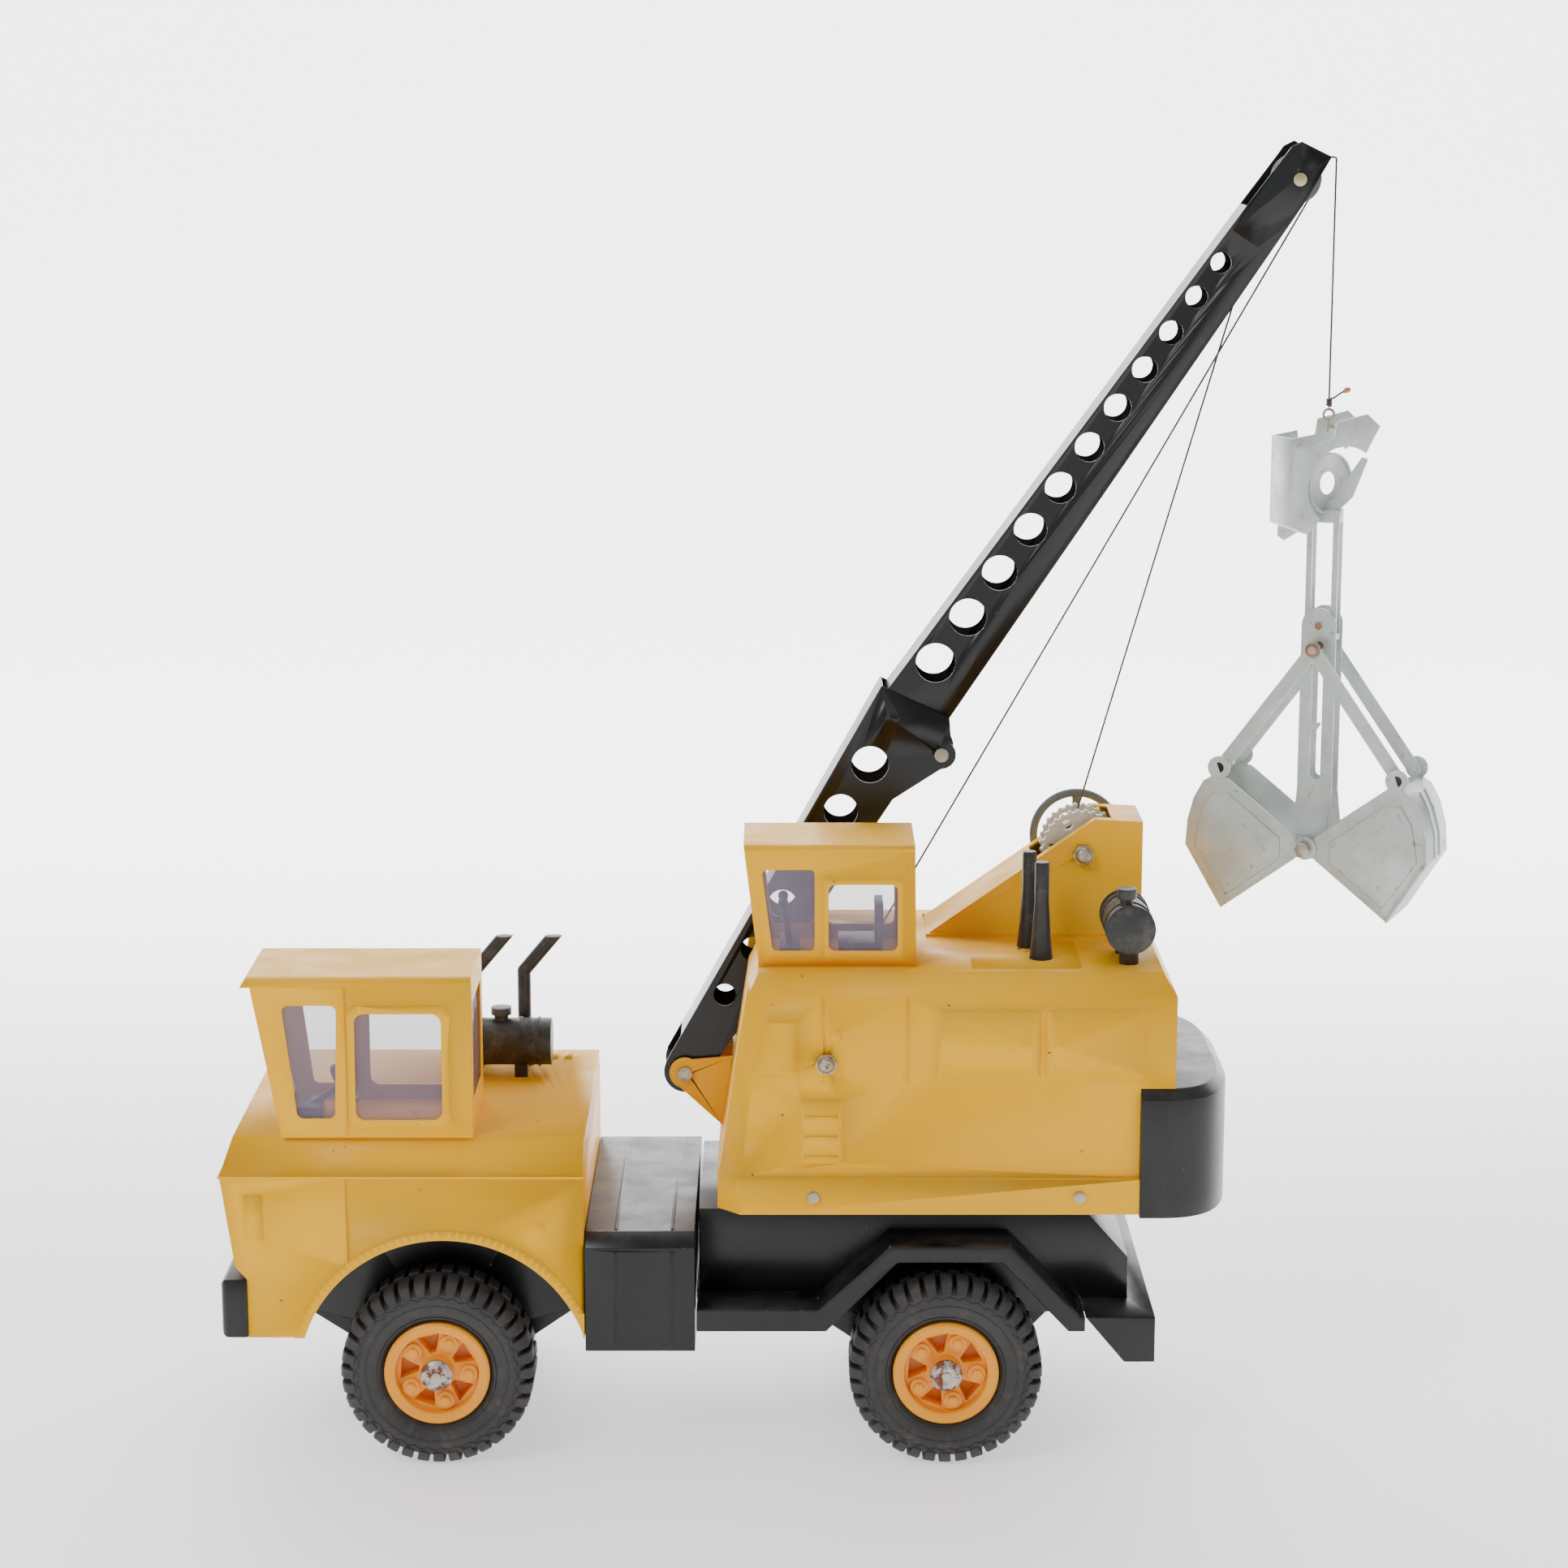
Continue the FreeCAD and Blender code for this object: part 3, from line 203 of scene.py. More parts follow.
def plastic(name, base, other, rough, grain=260.0, dust=(0.30, 0.27, 0.24), dustAmount=0.25, sub=0.0):
    mat, g = newMaterial(name)
    place = g.add("ShaderNodeTexCoord").outputs["Object"]
    drift = noise(g, place, 24.0, 5.0, 0.65).outputs[0]
    colour = mix(g, ramp(g, drift, 0.35, 0.7).outputs[0], rgba(base), rgba(other))
    blotch = ramp(g, noise(g, place, 70.0, 7.0, 0.7).outputs[0], 0.48, 0.75).outputs[0]
    amount = g.add("ShaderNodeMath", {0: blotch, 1: dustAmount}, operation="MULTIPLY").outputs[0]
    colour = mix(g, amount, colour, rgba(dust))
    roughness = g.add("ShaderNodeMapRange", {"Value": drift, "To Min": rough - 0.1, "To Max": rough + 0.15}).outputs[0]
    fine = noise(g, place, grain, 3.0).outputs[0]
    finishShader(g, colour, roughness, fine, 0.0002, 0.35, Subsurface_Weight=sub,
                 Subsurface_Radius=(0.006, 0.004, 0.002))
    return mat


def metal(name, base, other, rough, spotColour, spotAt, brush=(40, 40, 400), metallic=1.0):
    mat, g = newMaterial(name)
    place = g.add("ShaderNodeTexCoord").outputs["Object"]
    cloud = noise(g, place, 38.0, 7.0, 0.68).outputs[0]
    colour = mix(g, ramp(g, cloud, 0.36, 0.66).outputs[0], rgba(base), rgba(other))
    spot = ramp(g, noise(g, place, 150.0, 8.0, 0.7).outputs[0], spotAt, spotAt + 0.07).outputs[0]
    colour = mix(g, spot, colour, rgba(spotColour))
    grainMap = g.add("ShaderNodeMapping", {"Vector": place, "Scale": brush})
    grain = noise(g, grainMap.outputs[0], 9.0, 3.0).outputs[0]
    roughness = g.add("ShaderNodeMapRange", {"Value": cloud, "To Min": rough - 0.1, "To Max": rough + 0.2}).outputs[0]
    roughness = g.add("ShaderNodeMath", {0: spot, 1: 0.35, 2: roughness}, operation="MULTIPLY_ADD").outputs[0]
    shine = g.add("ShaderNodeMapRange", {"Value": spot, "To Min": metallic, "To Max": metallic * 0.3}).outputs[0]
    height = g.add("ShaderNodeMath", {0: spot, 1: 1.4, 2: grain}, operation="MULTIPLY_ADD").outputs[0]
    finishShader(g, colour, roughness, height, 0.0002, 0.3, Metallic=shine)
    return mat


def tyreRubber():
    mat, g = newMaterial("tyreRubber")
    place = g.add("ShaderNodeTexCoord").outputs["Object"]
    cloud = noise(g, place, 26.0, 7.0, 0.7).outputs[0]
    colour = mix(g, ramp(g, cloud, 0.3, 0.75).outputs[0], rgba((0.022, 0.022, 0.023)), rgba((0.045, 0.044, 0.043)))
    dirt = ramp(g, noise(g, place, 60.0, 8.0, 0.72).outputs[0], 0.53, 0.74).outputs[0]
    dirt = g.add("ShaderNodeMath", {0: dirt, 1: 0.5}, operation="MULTIPLY").outputs[0]
    colour = mix(g, dirt, colour, rgba((0.15, 0.105, 0.075)))
    roughness = g.add("ShaderNodeMapRange", {"Value": cloud, "To Min": 0.48, "To Max": 0.78}).outputs[0]
    fine = noise(g, place, 330.0, 4.0).outputs[0]
    finishShader(g, colour, roughness, fine, 0.0004, 0.4)
    return mat


def clearSheet():
    mat, g = newMaterial("clearSheet")
    place = g.add("ShaderNodeTexCoord").outputs["Object"]
    haze = noise(g, place, 30.0, 6.0, 0.7).outputs[0]
    colour = mix(g, haze, rgba((0.33, 0.28, 0.42)), rgba((0.45, 0.42, 0.52)))
    rough = g.add("ShaderNodeMapRange", {"Value": haze, "To Min": 0.03, "To Max": 0.14}).outputs[0]
    bsdf = finishShader(g, colour, rough, haze, 0.0003, 0.15, IOR=1.3)
    bsdf.inputs["Alpha"].default_value = 0.22
    return mat


def cordTwist(name, base, other, turnsPerMetre=900.0):
    # uv runs round the cord in x and along it, in metres, in y
    mat, g = newMaterial(name)
    uv = g.add("ShaderNodeTexCoord").outputs["UV"]
    parts = g.add("ShaderNodeSeparateXYZ", {0: uv})
    along = g.add("ShaderNodeMath", {0: parts.outputs[1], 1: turnsPerMetre, 2: parts.outputs[0]},
                  operation="MULTIPLY_ADD")
    lay = g.add("ShaderNodeMath", {0: along.outputs[0], 1: 2 * math.pi * 2}, operation="MULTIPLY")
    wave = g.add("ShaderNodeMath", {0: lay.outputs[0]}, operation="SINE").outputs[0]
    strand = ramp(g, wave, -1.0, 1.0).outputs[0]
    colour = mix(g, strand, rgba(base), rgba(other))
    finishShader(g, colour, 0.7, strand, 0.0002, 0.6)
    return mat


makeCamera()
yellowPaint, yellowEdge = enamel("yellowPaint", "yellow", False), enamel("yellowEdge", "yellow", True)
blackPaint, blackEdge = enamel("blackPaint", "black", False), enamel("blackEdge", "black", True)
blackPlastic = plastic("blackPlastic", (0.014, 0.014, 0.014), (0.028, 0.027, 0.026), 0.42)
hubPlastic = plastic("hubPlastic", (0.92, 0.33, 0.0), (0.93, 0.37, 0.004), 0.32, 180.0, (0.55, 0.27, 0.05), 0.2, 0.08)
greyPlastic = plastic("greyPlastic", (0.10, 0.125, 0.115), (0.15, 0.17, 0.155), 0.45)
whiteNylon = plastic("whiteNylon", (0.74, 0.70, 0.60), (0.66, 0.60, 0.48), 0.4, 200.0, (0.45, 0.38, 0.28), 0.3, 0.2)
zincPlate = metal("zincPlate", (0.60, 0.65, 0.62), (0.47, 0.51, 0.48), 0.42, (0.42, 0.37, 0.29), 0.60, metallic=0.45)
agedSteel = metal("agedSteel", (0.52, 0.48, 0.40), (0.36, 0.31, 0.24), 0.36, (0.15, 0.09, 0.05), 0.58)
rustyZinc = metal("rustyZinc", (0.55, 0.53, 0.50), (0.42, 0.38, 0.34), 0.45, (0.23, 0.07, 0.03), 0.49, metallic=0.8)
satinBrass = metal("satinBrass", (0.70, 0.58, 0.33), (0.55, 0.43, 0.22), 0.32, (0.2, 0.13, 0.07), 0.63)
copperRivet = metal("copperRivet", (0.38, 0.22, 0.14), (0.25, 0.14, 0.09), 0.35, (0.08, 0.05, 0.04), 0.6)
rubber = tyreRubber()
clear = clearSheet()
cordMat = cordTwist("cordMat", (0.055, 0.028, 0.03), (0.15, 0.085, 0.08))
print("materials made")

slotLook = {
    "yellow_paint": (yellowPaint, yellowEdge), "black_paint": (blackPaint, blackEdge),
    "black_plastic": (blackPlastic, None), "hub_plastic": (hubPlastic, None), "grey_plastic": (greyPlastic, None),
    "white_nylon": (whiteNylon, None), "zinc_plate": (zincPlate, None), "steel": (agedSteel, None),
    "rusty_zinc": (rustyZinc, None), "brass": (satinBrass, None), "copper_rivet": (copperRivet, None),
    "tyre": (rubber, None), "clear_liner": (clear, None), "cord": (cordMat, None)}

# every hard node is shown as a merged copy; its sharp edges are rolled unless it is one of the plain nodes or the roll
# would spoil its shape
edgeSet = {"default": 0.00035, "front_body": 0.0007, "front_cab": 0.0006, "turret_body": 0.0007, "turret_cab": 0.0006,
           "battery_box": 0.0012, "counterweight": 0.0016, "winch_housing": 0.0006, "front_bumper": 0.0010,
           "fender_left": 0.0006, "fender_right": 0.0006, "rear_bumper": 0.0006, "chassis": 0.0006,
           "hood_air_cleaner": 0.0006, "roof_air_cleaner": 0.0006, "cab_glazing": 0.0002, "turret_glazing": 0.0002,
           "luff_drum": 0.0002}
rollSet = {"areaDrift": 0.035, "volumeDrift": 0.03,
           "shares": (1.0, 0.5),
           "plain": ("front_cab", "turret_cab", "turret_body", "front_body", "upper_boom", "lower_boom",
                     "winch_housing")}


def addObject(name, mesh):
    obj = bpy.data.objects.new(name, mesh)
    bpy.context.scene.collection.objects.link(obj)
    return obj


def settle(obj, angle=30.0):
    # applies every modifier and shades it smooth except over sharp edges
    dg = bpy.context.evaluated_depsgraph_get()
    mesh = bpy.data.meshes.new_from_object(obj.evaluated_get(dg))
    obj.modifiers.clear()
    obj.data = mesh
    mesh.shade_smooth()
    mesh.set_sharp_from_angle(angle=math.radians(angle))
    return obj


def mergedMesh(name):
    bm = bmesh.new()
    bm.from_mesh(frame["nodes"][name].data)
    bmesh.ops.remove_doubles(bm, verts=bm.verts, dist=2e-6)
    mesh = bpy.data.meshes.new(name + "_shell")
    bm.to_mesh(mesh)
    bm.free()
    mesh.materials.clear()
    for mat in slotLook[nodeSlot[name]]:
        if mat:
            mesh.materials.append(mat)
    for poly in mesh.polygons:
        poly.material_index = 0
    return mesh


def meshFacts(mesh):
    # area of the drawn triangles, and volume
    mesh.calc_loop_triangles()
    area = sum(t.area for t in mesh.loop_triangles)
    corners = [[mesh.vertices[i].co for i in t.vertices] for t in mesh.loop_triangles]
    return area, sum(a.dot(b.cross(c)) for a, b, c in corners) / 6


def rolledShell(name, width):
    # a copy with every sharp edge rolled, or nothing when the roll would spoil the shape
    piece = addObject(name + "_shell", mergedMesh(name))
    bevel = piece.modifiers.new("rolled", "BEVEL")
    bevel.width, bevel.segments = width, 2
    bevel.limit_method, bevel.angle_limit = "ANGLE", math.radians(32)
    bevel.use_clamp_overlap, bevel.miter_outer = True, "MITER_ARC"
    if len(piece.data.materials) > 1:
        bevel.material = 1
    settle(piece, 35.0)
    area, volume = meshFacts(piece.data)
    plainArea, plainVolume = meshFacts(mergedMesh(name))
    areaHolds = abs(area / plainArea - 1) < rollSet["areaDrift"]
    if not (areaHolds and abs(volume / plainVolume - 1) < rollSet["volumeDrift"]):
        bpy.data.objects.remove(piece)
        return None
    return piece


def dressNode(name):
    width = edgeSet.get(name, edgeSet["default"])
    piece = None
    if name not in rollSet["plain"]:
        for share in rollSet["shares"]:
            piece = piece or rolledShell(name, width * share)
    if not piece:
        piece = settle(addObject(name + "_shell", mergedMesh(name)), 35.0)
    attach(piece, nodeBody[name])
    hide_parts(name)
    return piece


replacedByHand = {"tyre_front_left", "tyre_front_right", "tyre_rear_left", "tyre_rear_right",
                  "hoist_line", "luff_line", "drop_line"}
for nodeName in sorted(nodeBody):
    if nodeName not in replacedByHand:
        dressNode(nodeName)
print("hard nodes dressed")


def tubeMesh(name, points, radius, sides=10, closed=False, material=None, caps=True):
    # a round tube along a list of points, with uv for a twisted cord
    pts = [Vector(p) for p in points]
    n = len(pts)
    bm = bmesh.new()
    uv = bm.loops.layers.uv.new("UVMap")
    rings, lengths, total = [], [], 0.0
    normal = None
    for i, p in enumerate(pts):
        a = pts[(i - 1) % n] if (closed or i > 0) else p
        b = pts[(i + 1) % n] if (closed or i < n - 1) else p
        tangent = (b - a).normalized()
        if normal is None:
            normal = tangent.orthogonal().normalized()
        normal = (normal - tangent * normal.dot(tangent)).normalized()
        side = tangent.cross(normal)
        r = radius(i / max(1, n - 1)) if callable(radius) else radius
        rings.append([bm.verts.new(p + normal * r * math.cos(t) + side * r * math.sin(t))
                      for t in [2 * math.pi * k / sides for k in range(sides)]])
        if i:
            total += (p - pts[i - 1]).length
        lengths.append(total)
    count = n if closed else n - 1
    for i in range(count):
        j = (i + 1) % n
        far = lengths[j] if j else total + (pts[0] - pts[-1]).length
        for k in range(sides):
            m = (k + 1) % sides
            f = bm.faces.new((rings[i][k], rings[i][m], rings[j][m], rings[j][k]))
            for loop, (u, v) in zip(f.loops, ((k, lengths[i]), (k + 1, lengths[i]), (k + 1, far), (k, far))):
                loop[uv].uv = (u / sides, v)
    if caps and not closed:
        bm.faces.new(rings[0][::-1])
        bm.faces.new(rings[-1])
    bmesh.ops.recalc_face_normals(bm, faces=bm.faces)
    mesh = bpy.data.meshes.new(name)
    bm.to_mesh(mesh)
    bm.free()
    if material:
        mesh.materials.append(material)
    mesh.shade_smooth()
    return addObject(name, mesh)


def spunMesh(name, profile, centre, axisY, steps, material):
    # closed profile of (radius, offset along Y) turned about the line through centre
    bm = bmesh.new()
    rings = []
    for k in range(steps):
        t = 2 * math.pi * k / steps
        rings.append([bm.verts.new((centre[0] + r * math.cos(t), axisY + y, centre[2] + r * math.sin(t)))
                      for r, y in profile])
    n = len(profile)
    for k in range(steps):
        a, b = rings[k], rings[(k + 1) % steps]
        for i in range(n):
            j = (i + 1) % n
            bm.faces.new((a[i], a[j], b[j], b[i]))
    bmesh.ops.recalc_face_normals(bm, faces=bm.faces)
    mesh = bpy.data.meshes.new(name)
    bm.to_mesh(mesh)
    bm.free()
    mesh.materials.append(material)
    return addObject(name, mesh)


def ringTree():
    # repeats one object round the Y axis: tooth, count, phase, centre and material
    tree = bpy.data.node_groups.new("ringOfTeeth", "GeometryNodeTree")
    face = tree.interface
    face.new_socket("Tooth", in_out="INPUT", socket_type="NodeSocketObject")
    face.new_socket("Count", in_out="INPUT", socket_type="NodeSocketInt")
    face.new_socket("Phase", in_out="INPUT", socket_type="NodeSocketFloat")
    face.new_socket("Centre", in_out="INPUT", socket_type="NodeSocketVector")
    face.new_socket("Material", in_out="INPUT", socket_type="NodeSocketMaterial")
    face.new_socket("Geometry", in_out="OUTPUT", socket_type="NodeSocketGeometry")
    g = Graph(tree)
    inp = g.add("NodeGroupInput").outputs
    tooth = g.add("GeometryNodeObjectInfo", {"Object": inp["Tooth"]}).outputs["Geometry"]
    line = g.add("GeometryNodeMeshLine", {"Count": inp["Count"], "Offset": (0, 0, 0)})
    index = g.add("GeometryNodeInputIndex").outputs[0]
    step = g.add("ShaderNodeMath", {0: 2 * math.pi, 1: inp["Count"]}, operation="DIVIDE").outputs[0]
    angle = g.add("ShaderNodeMath", {0: index, 1: step, 2: inp["Phase"]}, operation="MULTIPLY_ADD").outputs[0]
    turn = g.add("ShaderNodeCombineXYZ", {"Y": angle}).outputs[0]
    placed = g.add("GeometryNodeInstanceOnPoints", {"Points": line.outputs[0], "Instance": tooth, "Rotation": turn})
    real = g.add("GeometryNodeRealizeInstances", {0: placed.outputs[0]})
    moved = g.add("GeometryNodeTransform", {"Geometry": real.outputs[0], "Translation": inp["Centre"]})
    coloured = g.add("GeometryNodeSetMaterial", {"Geometry": moved.outputs[0], "Material": inp["Material"]})
    g.add("NodeGroupOutput", {0: coloured.outputs[0]})
    return tree


ringNodes = ringTree()


def ringOf(name, tooth, count, phase, centre, material):
    obj = addObject(name, bpy.data.meshes.new(name))
    mod = obj.modifiers.new("ring", "NODES")
    mod.node_group = ringNodes
    values = {"Tooth": tooth, "Count": count, "Phase": phase, "Centre": centre, "Material": material}
    for item in ringNodes.interface.items_tree:
        if item.item_type == "SOCKET" and item.in_out == "INPUT":
            mod[item.identifier] = values[item.name]
    return settle(obj, 35.0)


def joinPieces(name, pieces):
    bm = bmesh.new()
    for p in pieces:
        bm.from_mesh(p.data)
    mesh = bpy.data.meshes.new(name)
    bm.to_mesh(mesh)
    bm.free()
    for m in pieces[0].data.materials:
        mesh.materials.append(m)
    for p in pieces:
        bpy.data.objects.remove(p)
    mesh.shade_smooth()
    mesh.set_sharp_from_angle(angle=math.radians(35))
    return addObject(name, mesh)


# tyres: a turned carcass, two staggered rows of lugs, a zigzag rib and thin rings on both walls
tyreSet = {"lugs": 36, "lugWidth": 0.0074, "tread": 0.0585, "base": 0.0535, "zigzag": 0.0482, "zigzagDepth": 0.0010,
           "ribRings": (0.0355, 0.0432), "steps": 144}


def lugMesh(side, half):
    s = tyreSet
    top, base, w = s["tread"], s["base"] - 0.002, s["lugWidth"] / 2
    section = [(0.0012, top), (0.0150, top), (0.0192, top - 0.0022), (0.0214, top - 0.0060), (half - 0.0002, 0.0502),
               (half - 0.0030, 0.0495), (0.0170, base), (0.0012, base)]
    bm = bmesh.new()
    ends = []
    for sign in (-1, 1):
        ends.append([bm.verts.new((sign * w * (r / top) * (1.0 if r > 0.054 else 0.93), side * y, r))
                     for y, r in section])
    n = len(section)
    for i in range(n):
        j = (i + 1) % n
        bm.faces.new((ends[0][i], ends[0][j], ends[1][j], ends[1][i]))
    bm.faces.new(ends[0][::-1])
    bm.faces.new(ends[1])
    bmesh.ops.recalc_face_normals(bm, faces=bm.faces)
    sharp = [e for e in bm.edges if e.calc_face_angle(0) > 0.9]
    bmesh.ops.bevel(bm, geom=sharp, offset=0.0006, segments=1, affect="EDGES")
    mesh = bpy.data.meshes.new("lug")
    bm.to_mesh(mesh)
    bm.free()
    return addObject("lug", mesh)


def makeTyre(node):
    s = tyreSet
    low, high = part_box(node)
    centre = (low + high) / 2
    half = (high.y - low.y) / 2
    bead = 0.0323
    profile = [(bead, -0.016), (0.0345, -0.0185), (0.0375, -0.0205), (0.0425, -0.0216), (0.0470, -0.0218),
               (0.0505, -0.0212), (0.0525, -0.0185), (s["base"], -0.015)]
    profile = profile + [(r, -y) for r, y in profile[::-1]]
    pieces = [spunMesh("carcass", profile, centre, centre.y, s["steps"], rubber)]
    for side in (-1, 1):
        lug = lugMesh(side, half)
        phase = 0 if side < 0 else math.pi / s["lugs"]
        pieces.append(ringOf("lugs", lug, s["lugs"], phase, centre, rubber))
        bpy.data.objects.remove(lug)
        count = s["lugs"] * 2
        wall = centre.y + side * 0.0219
        zig = []
        for k in range(count):
            r = s["zigzag"] + (s["zigzagDepth"] if k % 2 else -s["zigzagDepth"])
            t = 2 * math.pi * (k + 0.5) / count
            zig.append((centre.x + r * math.cos(t), wall - side * 0.0001, centre.z + r * math.sin(t)))
        pieces.append(tubeMesh("zigzag", zig, 0.00045, 6, True, rubber))
        for r, inset in zip(s["ribRings"], (0.0022, 0.0003)):
            ring = [(centre.x + r * math.cos(t), wall - side * inset, centre.z + r * math.sin(t))
                    for t in [2 * math.pi * k / 96 for k in range(96)]]
            pieces.append(tubeMesh("rib", ring, 0.0006, 6, True, rubber))
    tyre = joinPieces(node + "_tread", pieces)
    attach(tyre, nodeBody[node])
    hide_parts(node)


for nodeName in sorted(replacedByHand):
    if nodeName.startswith("tyre"):
        makeTyre(nodeName)
print("tyres made")

# axle nuts: radial crimp marks round each cap
crimpSet = {"count": 16, "inner": 0.0046, "outer": 0.0090, "height": 0.0009, "width": 0.0009}


def makeCrimps():
    s = crimpSet
    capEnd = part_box("axle_push_nuts")[1].y
    made = []
    for node in ("hub_front_left", "hub_front_right", "hub_rear_left", "hub_rear_right"):
        low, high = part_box(node)
        centre = (low + high) / 2
        side = 1 if centre.y > 0 else -1
        bm = bmesh.new()
        bmesh.ops.create_cube(bm, size=1.0)
        bmesh.ops.scale(bm, vec=(s["width"], s["height"], s["outer"] - s["inner"]), verts=bm.verts)
        tilt = Matrix.Rotation(side * 0.30, 4, "X")
        bmesh.ops.transform(bm, matrix=Matrix.Translation((0, 0, (s["inner"] + s["outer"]) / 2)) @ tilt, verts=bm.verts)
        bmesh.ops.bevel(bm, geom=bm.edges[:], offset=0.0002, segments=1, affect="EDGES")
        mesh = bpy.data.meshes.new("crimp")
        bm.to_mesh(mesh)
        bm.free()
        tooth = addObject("crimp", mesh)
        made.append(ringOf("crimps", tooth, s["count"], 0.1, (centre.x, side * (capEnd - 0.0018), centre.z), rustyZinc))
        bpy.data.objects.remove(tooth)
    piece = joinPieces("axle_nut_crimps", made)
    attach(piece, nodeBody["axle_push_nuts"])


makeCrimps()
print("axle nuts crimped")

# cords: taut runs, with the turns on both drums and the knot at the bucket
cordSet = {"radius": 0.0006, "fineness": 14, "drumTurns": 9, "perTurn": 12, "sheaveGroove": 0.0124,
           "lead": 12, "tipAngle": 75, "tipSteps": 7, "hoistDrum": (0.0107, 0.026, 0.050),
           "luffDrum": (0.0127, 0.0315, 0.0445), "knotTurns": 3, "knotR": 0.0014, "knotFrom": 0.001,
           "knotRise": 0.0045, "knotCord": 0.0007}


def pivot(name):
    return Vector(jointOf[name]["pos_m"])


def routePoints(controls):
    # the points of the smooth line that the controls steer
    curve = bpy.data.curves.new("route", "CURVE")
    curve.dimensions = "3D"
    curve.resolution_u = cordSet["fineness"]
    line = curve.splines.new("NURBS")
    line.points.add(len(controls) - 1)
    for point, place in zip(line.points, controls):
        point.co = (*place, 1.0)
    line.order_u = 3
    line.use_endpoint_u = True
    holder = bpy.data.objects.new("route", curve)
    bpy.context.scene.collection.objects.link(holder)
    mesh = bpy.data.meshes.new_from_object(holder.evaluated_get(bpy.context.evaluated_depsgraph_get()))
    points = [v.co.copy() for v in mesh.vertices]
    bpy.data.objects.remove(holder)
    bpy.data.curves.remove(curve)
    bpy.data.meshes.remove(mesh)
    return points


def tautRun(a, b):
    # a long straight stretch, held close to each end
    a, b = Vector(a), Vector(b)
    lead = (b - a).normalized() * cordSet["radius"] * cordSet["lead"]
    return routePoints([a, a + lead, b - lead, b])


def drumTurns(name, centre, radius, y0, y1, body, turns):
    pts = []
    steps = cordSet["perTurn"]
    reach = radius / math.cos(math.pi / steps) ** 0.5  # the line runs a little inside its controls
    for k in range(turns * steps + 1):
        t = 2 * math.pi * k / steps
        pts.append((centre.x + reach * math.cos(t), y0 + (y1 - y0) * k / (turns * steps),
                    centre.z + reach * math.sin(t)))
    coil = tubeMesh(name, routePoints(pts), cordSet["radius"], 8, False, cordMat)
    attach(coil, body)


def makeCords():
    r = cordSet["radius"]
    sheave = pivot("sheave_spin")
    low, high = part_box("hoist_line")
    hoistStart, hoistEnd = Vector((low.x + r, sheave.y, low.z + r)), Vector((high.x - r, sheave.y, high.z - r))
    hoist = tubeMesh("hoist_cord", tautRun(hoistStart, hoistEnd), r, 8, False, cordMat)
    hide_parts("hoist_line")
    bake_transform(hoist)
    [tuple(p) for p in tautRun(hoistStart, hoistEnd)]
    low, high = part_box("luff_line")
    y = (low.y + high.y) / 2
    luffStart, luffEnd = Vector((low.x + r, y, low.z + r)), Vector((high.x - r, y, high.z - r))
    luff = tubeMesh("luff_cord", tautRun(luffStart, luffEnd), r, 8, False, cordMat)
    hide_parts("luff_line")
    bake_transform(luff)
    [tuple(p) for p in tautRun(luffStart, luffEnd)]
    low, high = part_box("drop_line")
    top, bottom = Vector(((low.x + high.x) / 2, sheave.y, high.z)), Vector(((low.x + high.x) / 2, sheave.y, low.z))
    drop = tubeMesh("drop_cord", tautRun(top, bottom), r, 8, False, cordMat)
    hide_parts("drop_line")
    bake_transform(drop)
    [tuple(p) for p in tautRun(top, bottom)]
    # over the sheave, from the boom side to the tip
    groove = cordSet["sheaveGroove"]
    start = math.atan2(hoistEnd.z - sheave.z, hoistEnd.x - sheave.x)
    over = [hoistEnd]
    steps = cordSet["tipSteps"]
    for k in range(1, steps + 1):
        t = start + (math.radians(cordSet["tipAngle"]) - start) * k / steps
        over.append(Vector((sheave.x + groove * math.cos(t), sheave.y, sheave.z + groove * math.sin(t))))
    over += [top.lerp(over[-1], 0.25) + Vector((0, 0, 0.0012)), top]
    wrap = tubeMesh("tip_cord", routePoints(over), r, 8, False, cordMat)
    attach(wrap, "boom")
    drumTurns("hoist_drum_turns", pivot("hoist_winch_spin"), *cordSet["hoistDrum"], "hoist_winch", cordSet["drumTurns"])
    drumTurns("luff_drum_turns", pivot("luff_winch_spin"), *cordSet["luffDrum"], "luff_winch", cordSet["drumTurns"])
    # knot: three snug turns round the fall, and a short frayed tail with a red end
    knot = []
    snug, last = cordSet["knotR"], cordSet["knotTurns"] * cordSet["perTurn"]
    for k in range(last + 1):
        t = 2 * math.pi * k / cordSet["perTurn"]
        knot.append((bottom.x + snug * math.cos(t), sheave.y + snug * math.sin(t),
                     bottom.z + cordSet["knotFrom"] + cordSet["knotRise"] * k / last))
    tail = [Vector(knot[-1]), bottom + Vector((0.003, -0.001, 0.006)), bottom + Vector((0.006, -0.001, 0.0085)),
            bottom + Vector((0.0085, -0.001, 0.0098))]
    piece = joinPieces("cord_knot", [tubeMesh("turns", routePoints(knot), cordSet["knotCord"], 8, False, cordMat),
                                     tubeMesh("tail", routePoints(tail), r, 8, False, cordMat)])
    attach(piece, "bucket")
    redEnd = cordTwist("redEnd", (0.62, 0.17, 0.09), (0.75, 0.26, 0.14))
    tipRun = [tail[-1], tail[-1] + Vector((0.0022, 0, 0.001)), tail[-1] + Vector((0.0042, 0, 0.0016))]
    tip = tubeMesh("cord_tip", tipRun, lambda t: 0.0011 + 0.0007 * math.sin(math.pi * t), 10, False, redEnd)
    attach(tip, "bucket")
    return hoist, luff, drop


makeCords()
print("cords made")
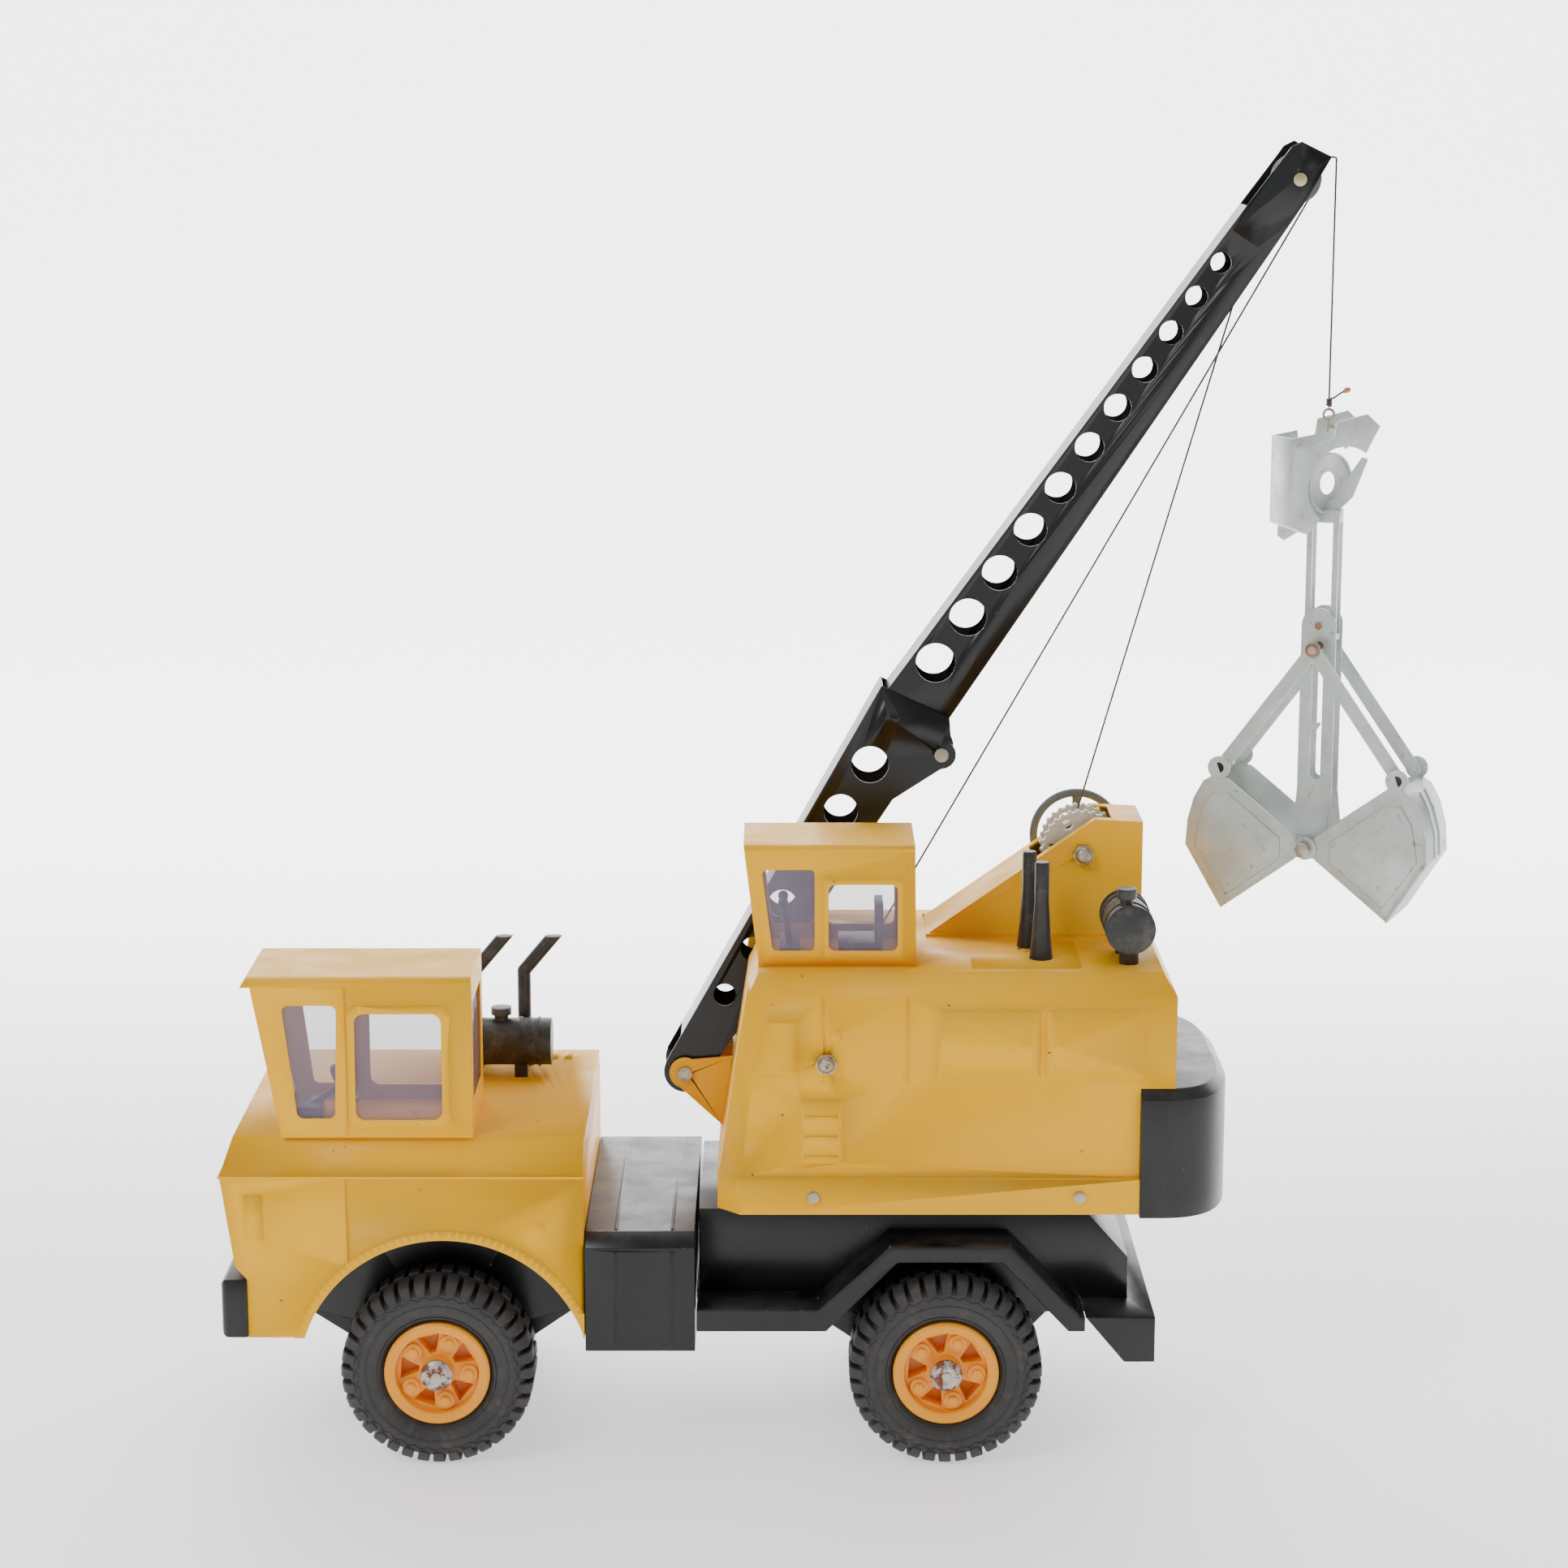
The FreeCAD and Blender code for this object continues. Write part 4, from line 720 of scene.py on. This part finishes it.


# bucket: ear discs with thin sheets of painted shade for their half-moon slots, ringed rivets and the small hook in the
# near slot
bucketSet = {"yaw": -24.0, "earX": 0.0566, "earUp": 0.047, "discR": 0.0072, "slotR": 0.0034, "thick": 0.0007,
             "faces": (0.026, 0.0246), "mastRivet": 0.138, "crossRivet": 0.1246, "line": 0.00025, "lineProud": 0.0003,
             "panel": ((0.016, -0.008), (0.050, -0.034), (0.071, -0.003), (0.067, 0.020), (0.060, 0.031),
                       (0.050, 0.031), (0.016, 0.005))}


def hungPoint(x, y, z):
    # from the bucket's own square frame to where it hangs
    a = math.radians(bucketSet["yaw"])
    pin = pivot("jaw_left_close")
    return Vector((pin.x + x * math.cos(a) - y * math.sin(a), pin.y + x * math.sin(a) + y * math.cos(a), pin.z + z))


def hungPrism(name, outline, y0, y1, material):
    # a flat outline in the bucket's frame, given thickness across it
    bm = bmesh.new()
    back = [bm.verts.new(hungPoint(x, y0, z)) for x, z in outline]
    front = [bm.verts.new(hungPoint(x, y1, z)) for x, z in outline]
    bm.faces.new(back)
    bm.faces.new(front[::-1])
    for i in range(len(outline)):
        j = (i + 1) % len(outline)
        bm.faces.new((back[i], front[i], front[j], back[j]))
    bmesh.ops.recalc_face_normals(bm, faces=bm.faces)
    bmesh.ops.bevel(bm, geom=bm.edges[:], offset=0.0002, segments=1, affect="EDGES")
    mesh = bpy.data.meshes.new(name)
    bm.to_mesh(mesh)
    bm.free()
    mesh.materials.append(material)
    return addObject(name, mesh)


def arc(cx, cz, r, start, end, steps):
    return [(cx + r * math.cos(math.radians(start + (end - start) * k / steps)),
             cz + r * math.sin(math.radians(start + (end - start) * k / steps))) for k in range(steps + 1)]


def makeBucketTrim():
    s = bucketSet
    # near-black material for the painted shade of the half-moon slots: no slot is cut, a thin sheet stands in for its
    # dark hollow
    slotShadeMaterial = plastic("slotShadow", (0.008, 0.008, 0.007), (0.014, 0.013, 0.012), 0.8)
    for body, sign in (("jaw_left", -1), ("jaw_right", 1)):
        discs, slotShades = [], []
        for side in (-1, 1):
            face = side * s["faces"][side * sign < 0]
            cx, cz = sign * s["earX"], s["earUp"]
            ringY = sorted([face + side * 0.00005, face + side * s["thick"]])
            ring = arc(cx, cz, s["discR"], 0, 352, 28)
            discs.append(hungPrism("disc", ring, ringY[0], ringY[1], zincPlate))
            # painted shade: a thin near-black half-moon sheet just proud of the disc face
            slotY = sorted([face + side * s["thick"], face + side * (s["thick"] + 0.0001)])
            slotShades.append(hungPrism("half", arc(cx, cz, s["slotR"], -70, 110, 10), slotY[0], slotY[1], slotShadeMaterial))
        # slot is the joined sheets of painted slot shade; disc is the zinc discs
        disc = joinPieces(body + "_ear_discs", discs)
        slot = joinPieces(body + "_ear_slots", slotShades)
        for piece in (disc, slot):
            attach(piece, body)
    # raised line round each jaw's flat side
    for body, sign in (("jaw_left", -1), ("jaw_right", 1)):
        lines = []
        for side in (-1, 1):
            face = side * (s["faces"][side * sign < 0] + s["lineProud"])
            loop = [hungPoint(sign * x, face, z) for x, z in s["panel"]]
            lines.append(tubeMesh("line", loop, s["line"], 6, True, agedSteel))
        outline = joinPieces(body + "_panel_line", lines)
        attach(outline, body)
    upper = hungPrism("mast_rivet_caps", arc(0, s["mastRivet"], 0.0024, 0, 345, 22), -0.0096, -0.0092, copperRivet)
    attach(upper, "bucket")
    outline = arc(0, s["crossRivet"], 0.0026, 0, 350, 20)
    rings = [hungPrism("ring", outline, y, y + 0.0005, agedSteel) for y in (-0.0227, 0.0222)]
    ring = joinPieces("crosshead_rings", rings)
    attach(ring, "crosshead")
    hook = [(-0.0036, 0.072), (0.0006, 0.072), (0.0030, 0.0760), (0.0016, 0.0775), (-0.0006, 0.0752), (-0.0036, 0.0752)]
    hookPiece = hungPrism("slot_hook", hook, -0.0079, -0.0068, zincPlate)
    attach(hookPiece, "bucket")


makeBucketTrim()
print("bucket trimmed")


def makeStudio():
    s = studioSet
    size = s["floorSize"]
    bm = bmesh.new()
    # level floor that sweeps up behind
    rows = [(-size / 2, 0.0), (2.2, 0.0)]
    rows += [(2.2 + 2.0 * math.sin(t), 2.0 - 2.0 * math.cos(t)) for t in [math.pi / 2 * k / 16 for k in range(1, 17)]]
    rows.append((4.2, 7.0))
    grid = [[bm.verts.new((x, y, z)) for x in (-size / 2, size / 2)] for y, z in rows]
    for a, b in zip(grid, grid[1:]):
        bm.faces.new((a[0], a[1], b[1], b[0]))
    mesh = bpy.data.meshes.new("studioSweep")
    bm.to_mesh(mesh)
    bm.free()
    mesh.shade_smooth()
    mat, g = newMaterial("studioPaper")
    place = g.add("ShaderNodeTexCoord").outputs["Object"]
    tone = noise(g, place, 1.2, 2.0).outputs[0]
    colour = mix(g, tone, rgba(s["floorColour"]), rgba((0.90, 0.90, 0.91)))
    paper = finishShader(g, colour, 0.55)
    paper.inputs["Emission Color"].default_value = (1, 1, 1, 1)
    along = g.add("ShaderNodeSeparateXYZ", {0: place}).outputs[1]
    glow = g.add("ShaderNodeMapRange", {"Value": along, "From Min": 0.15, "From Max": 1.6, "To Min": s["paperGlow"],
                                        "To Max": s["wallGlow"]}, interpolation_type="SMOOTHSTEP")
    g.tree.links.new(glow.outputs[0], paper.inputs["Emission Strength"])
    mesh.materials.append(mat)
    sweep = addObject("studioSweep", mesh)
    world = bpy.data.worlds.new("studioWorld")
    world.use_nodes = True
    w = Graph(world.node_tree)
    back = w.add("ShaderNodeBackground", {"Color": (1, 1, 1, 1), "Strength": s["skyStrength"]})
    w.add("ShaderNodeOutputWorld", {"Surface": back.outputs[0]})
    bpy.context.scene.world = world
    areaLight("keySoft", (-1.7, -1.9, 2.5), (0, 0, 0.25), (1.0, 1.0), 34)
    areaLight("fillSoft", (2.2, -1.8, 1.6), (0, 0, 0.3), (1.6, 1.6), 7)
    areaLight("topSoft", (0.1, 0.6, 3.0), (0, 0, 0.2), (2.0, 1.6), 20)
    areaLight("backWall", (0, 1.6, 2.2), (0, 4.2, 1.2), (4.0, 1.0), 25)


makeStudio()
print("studio lit")
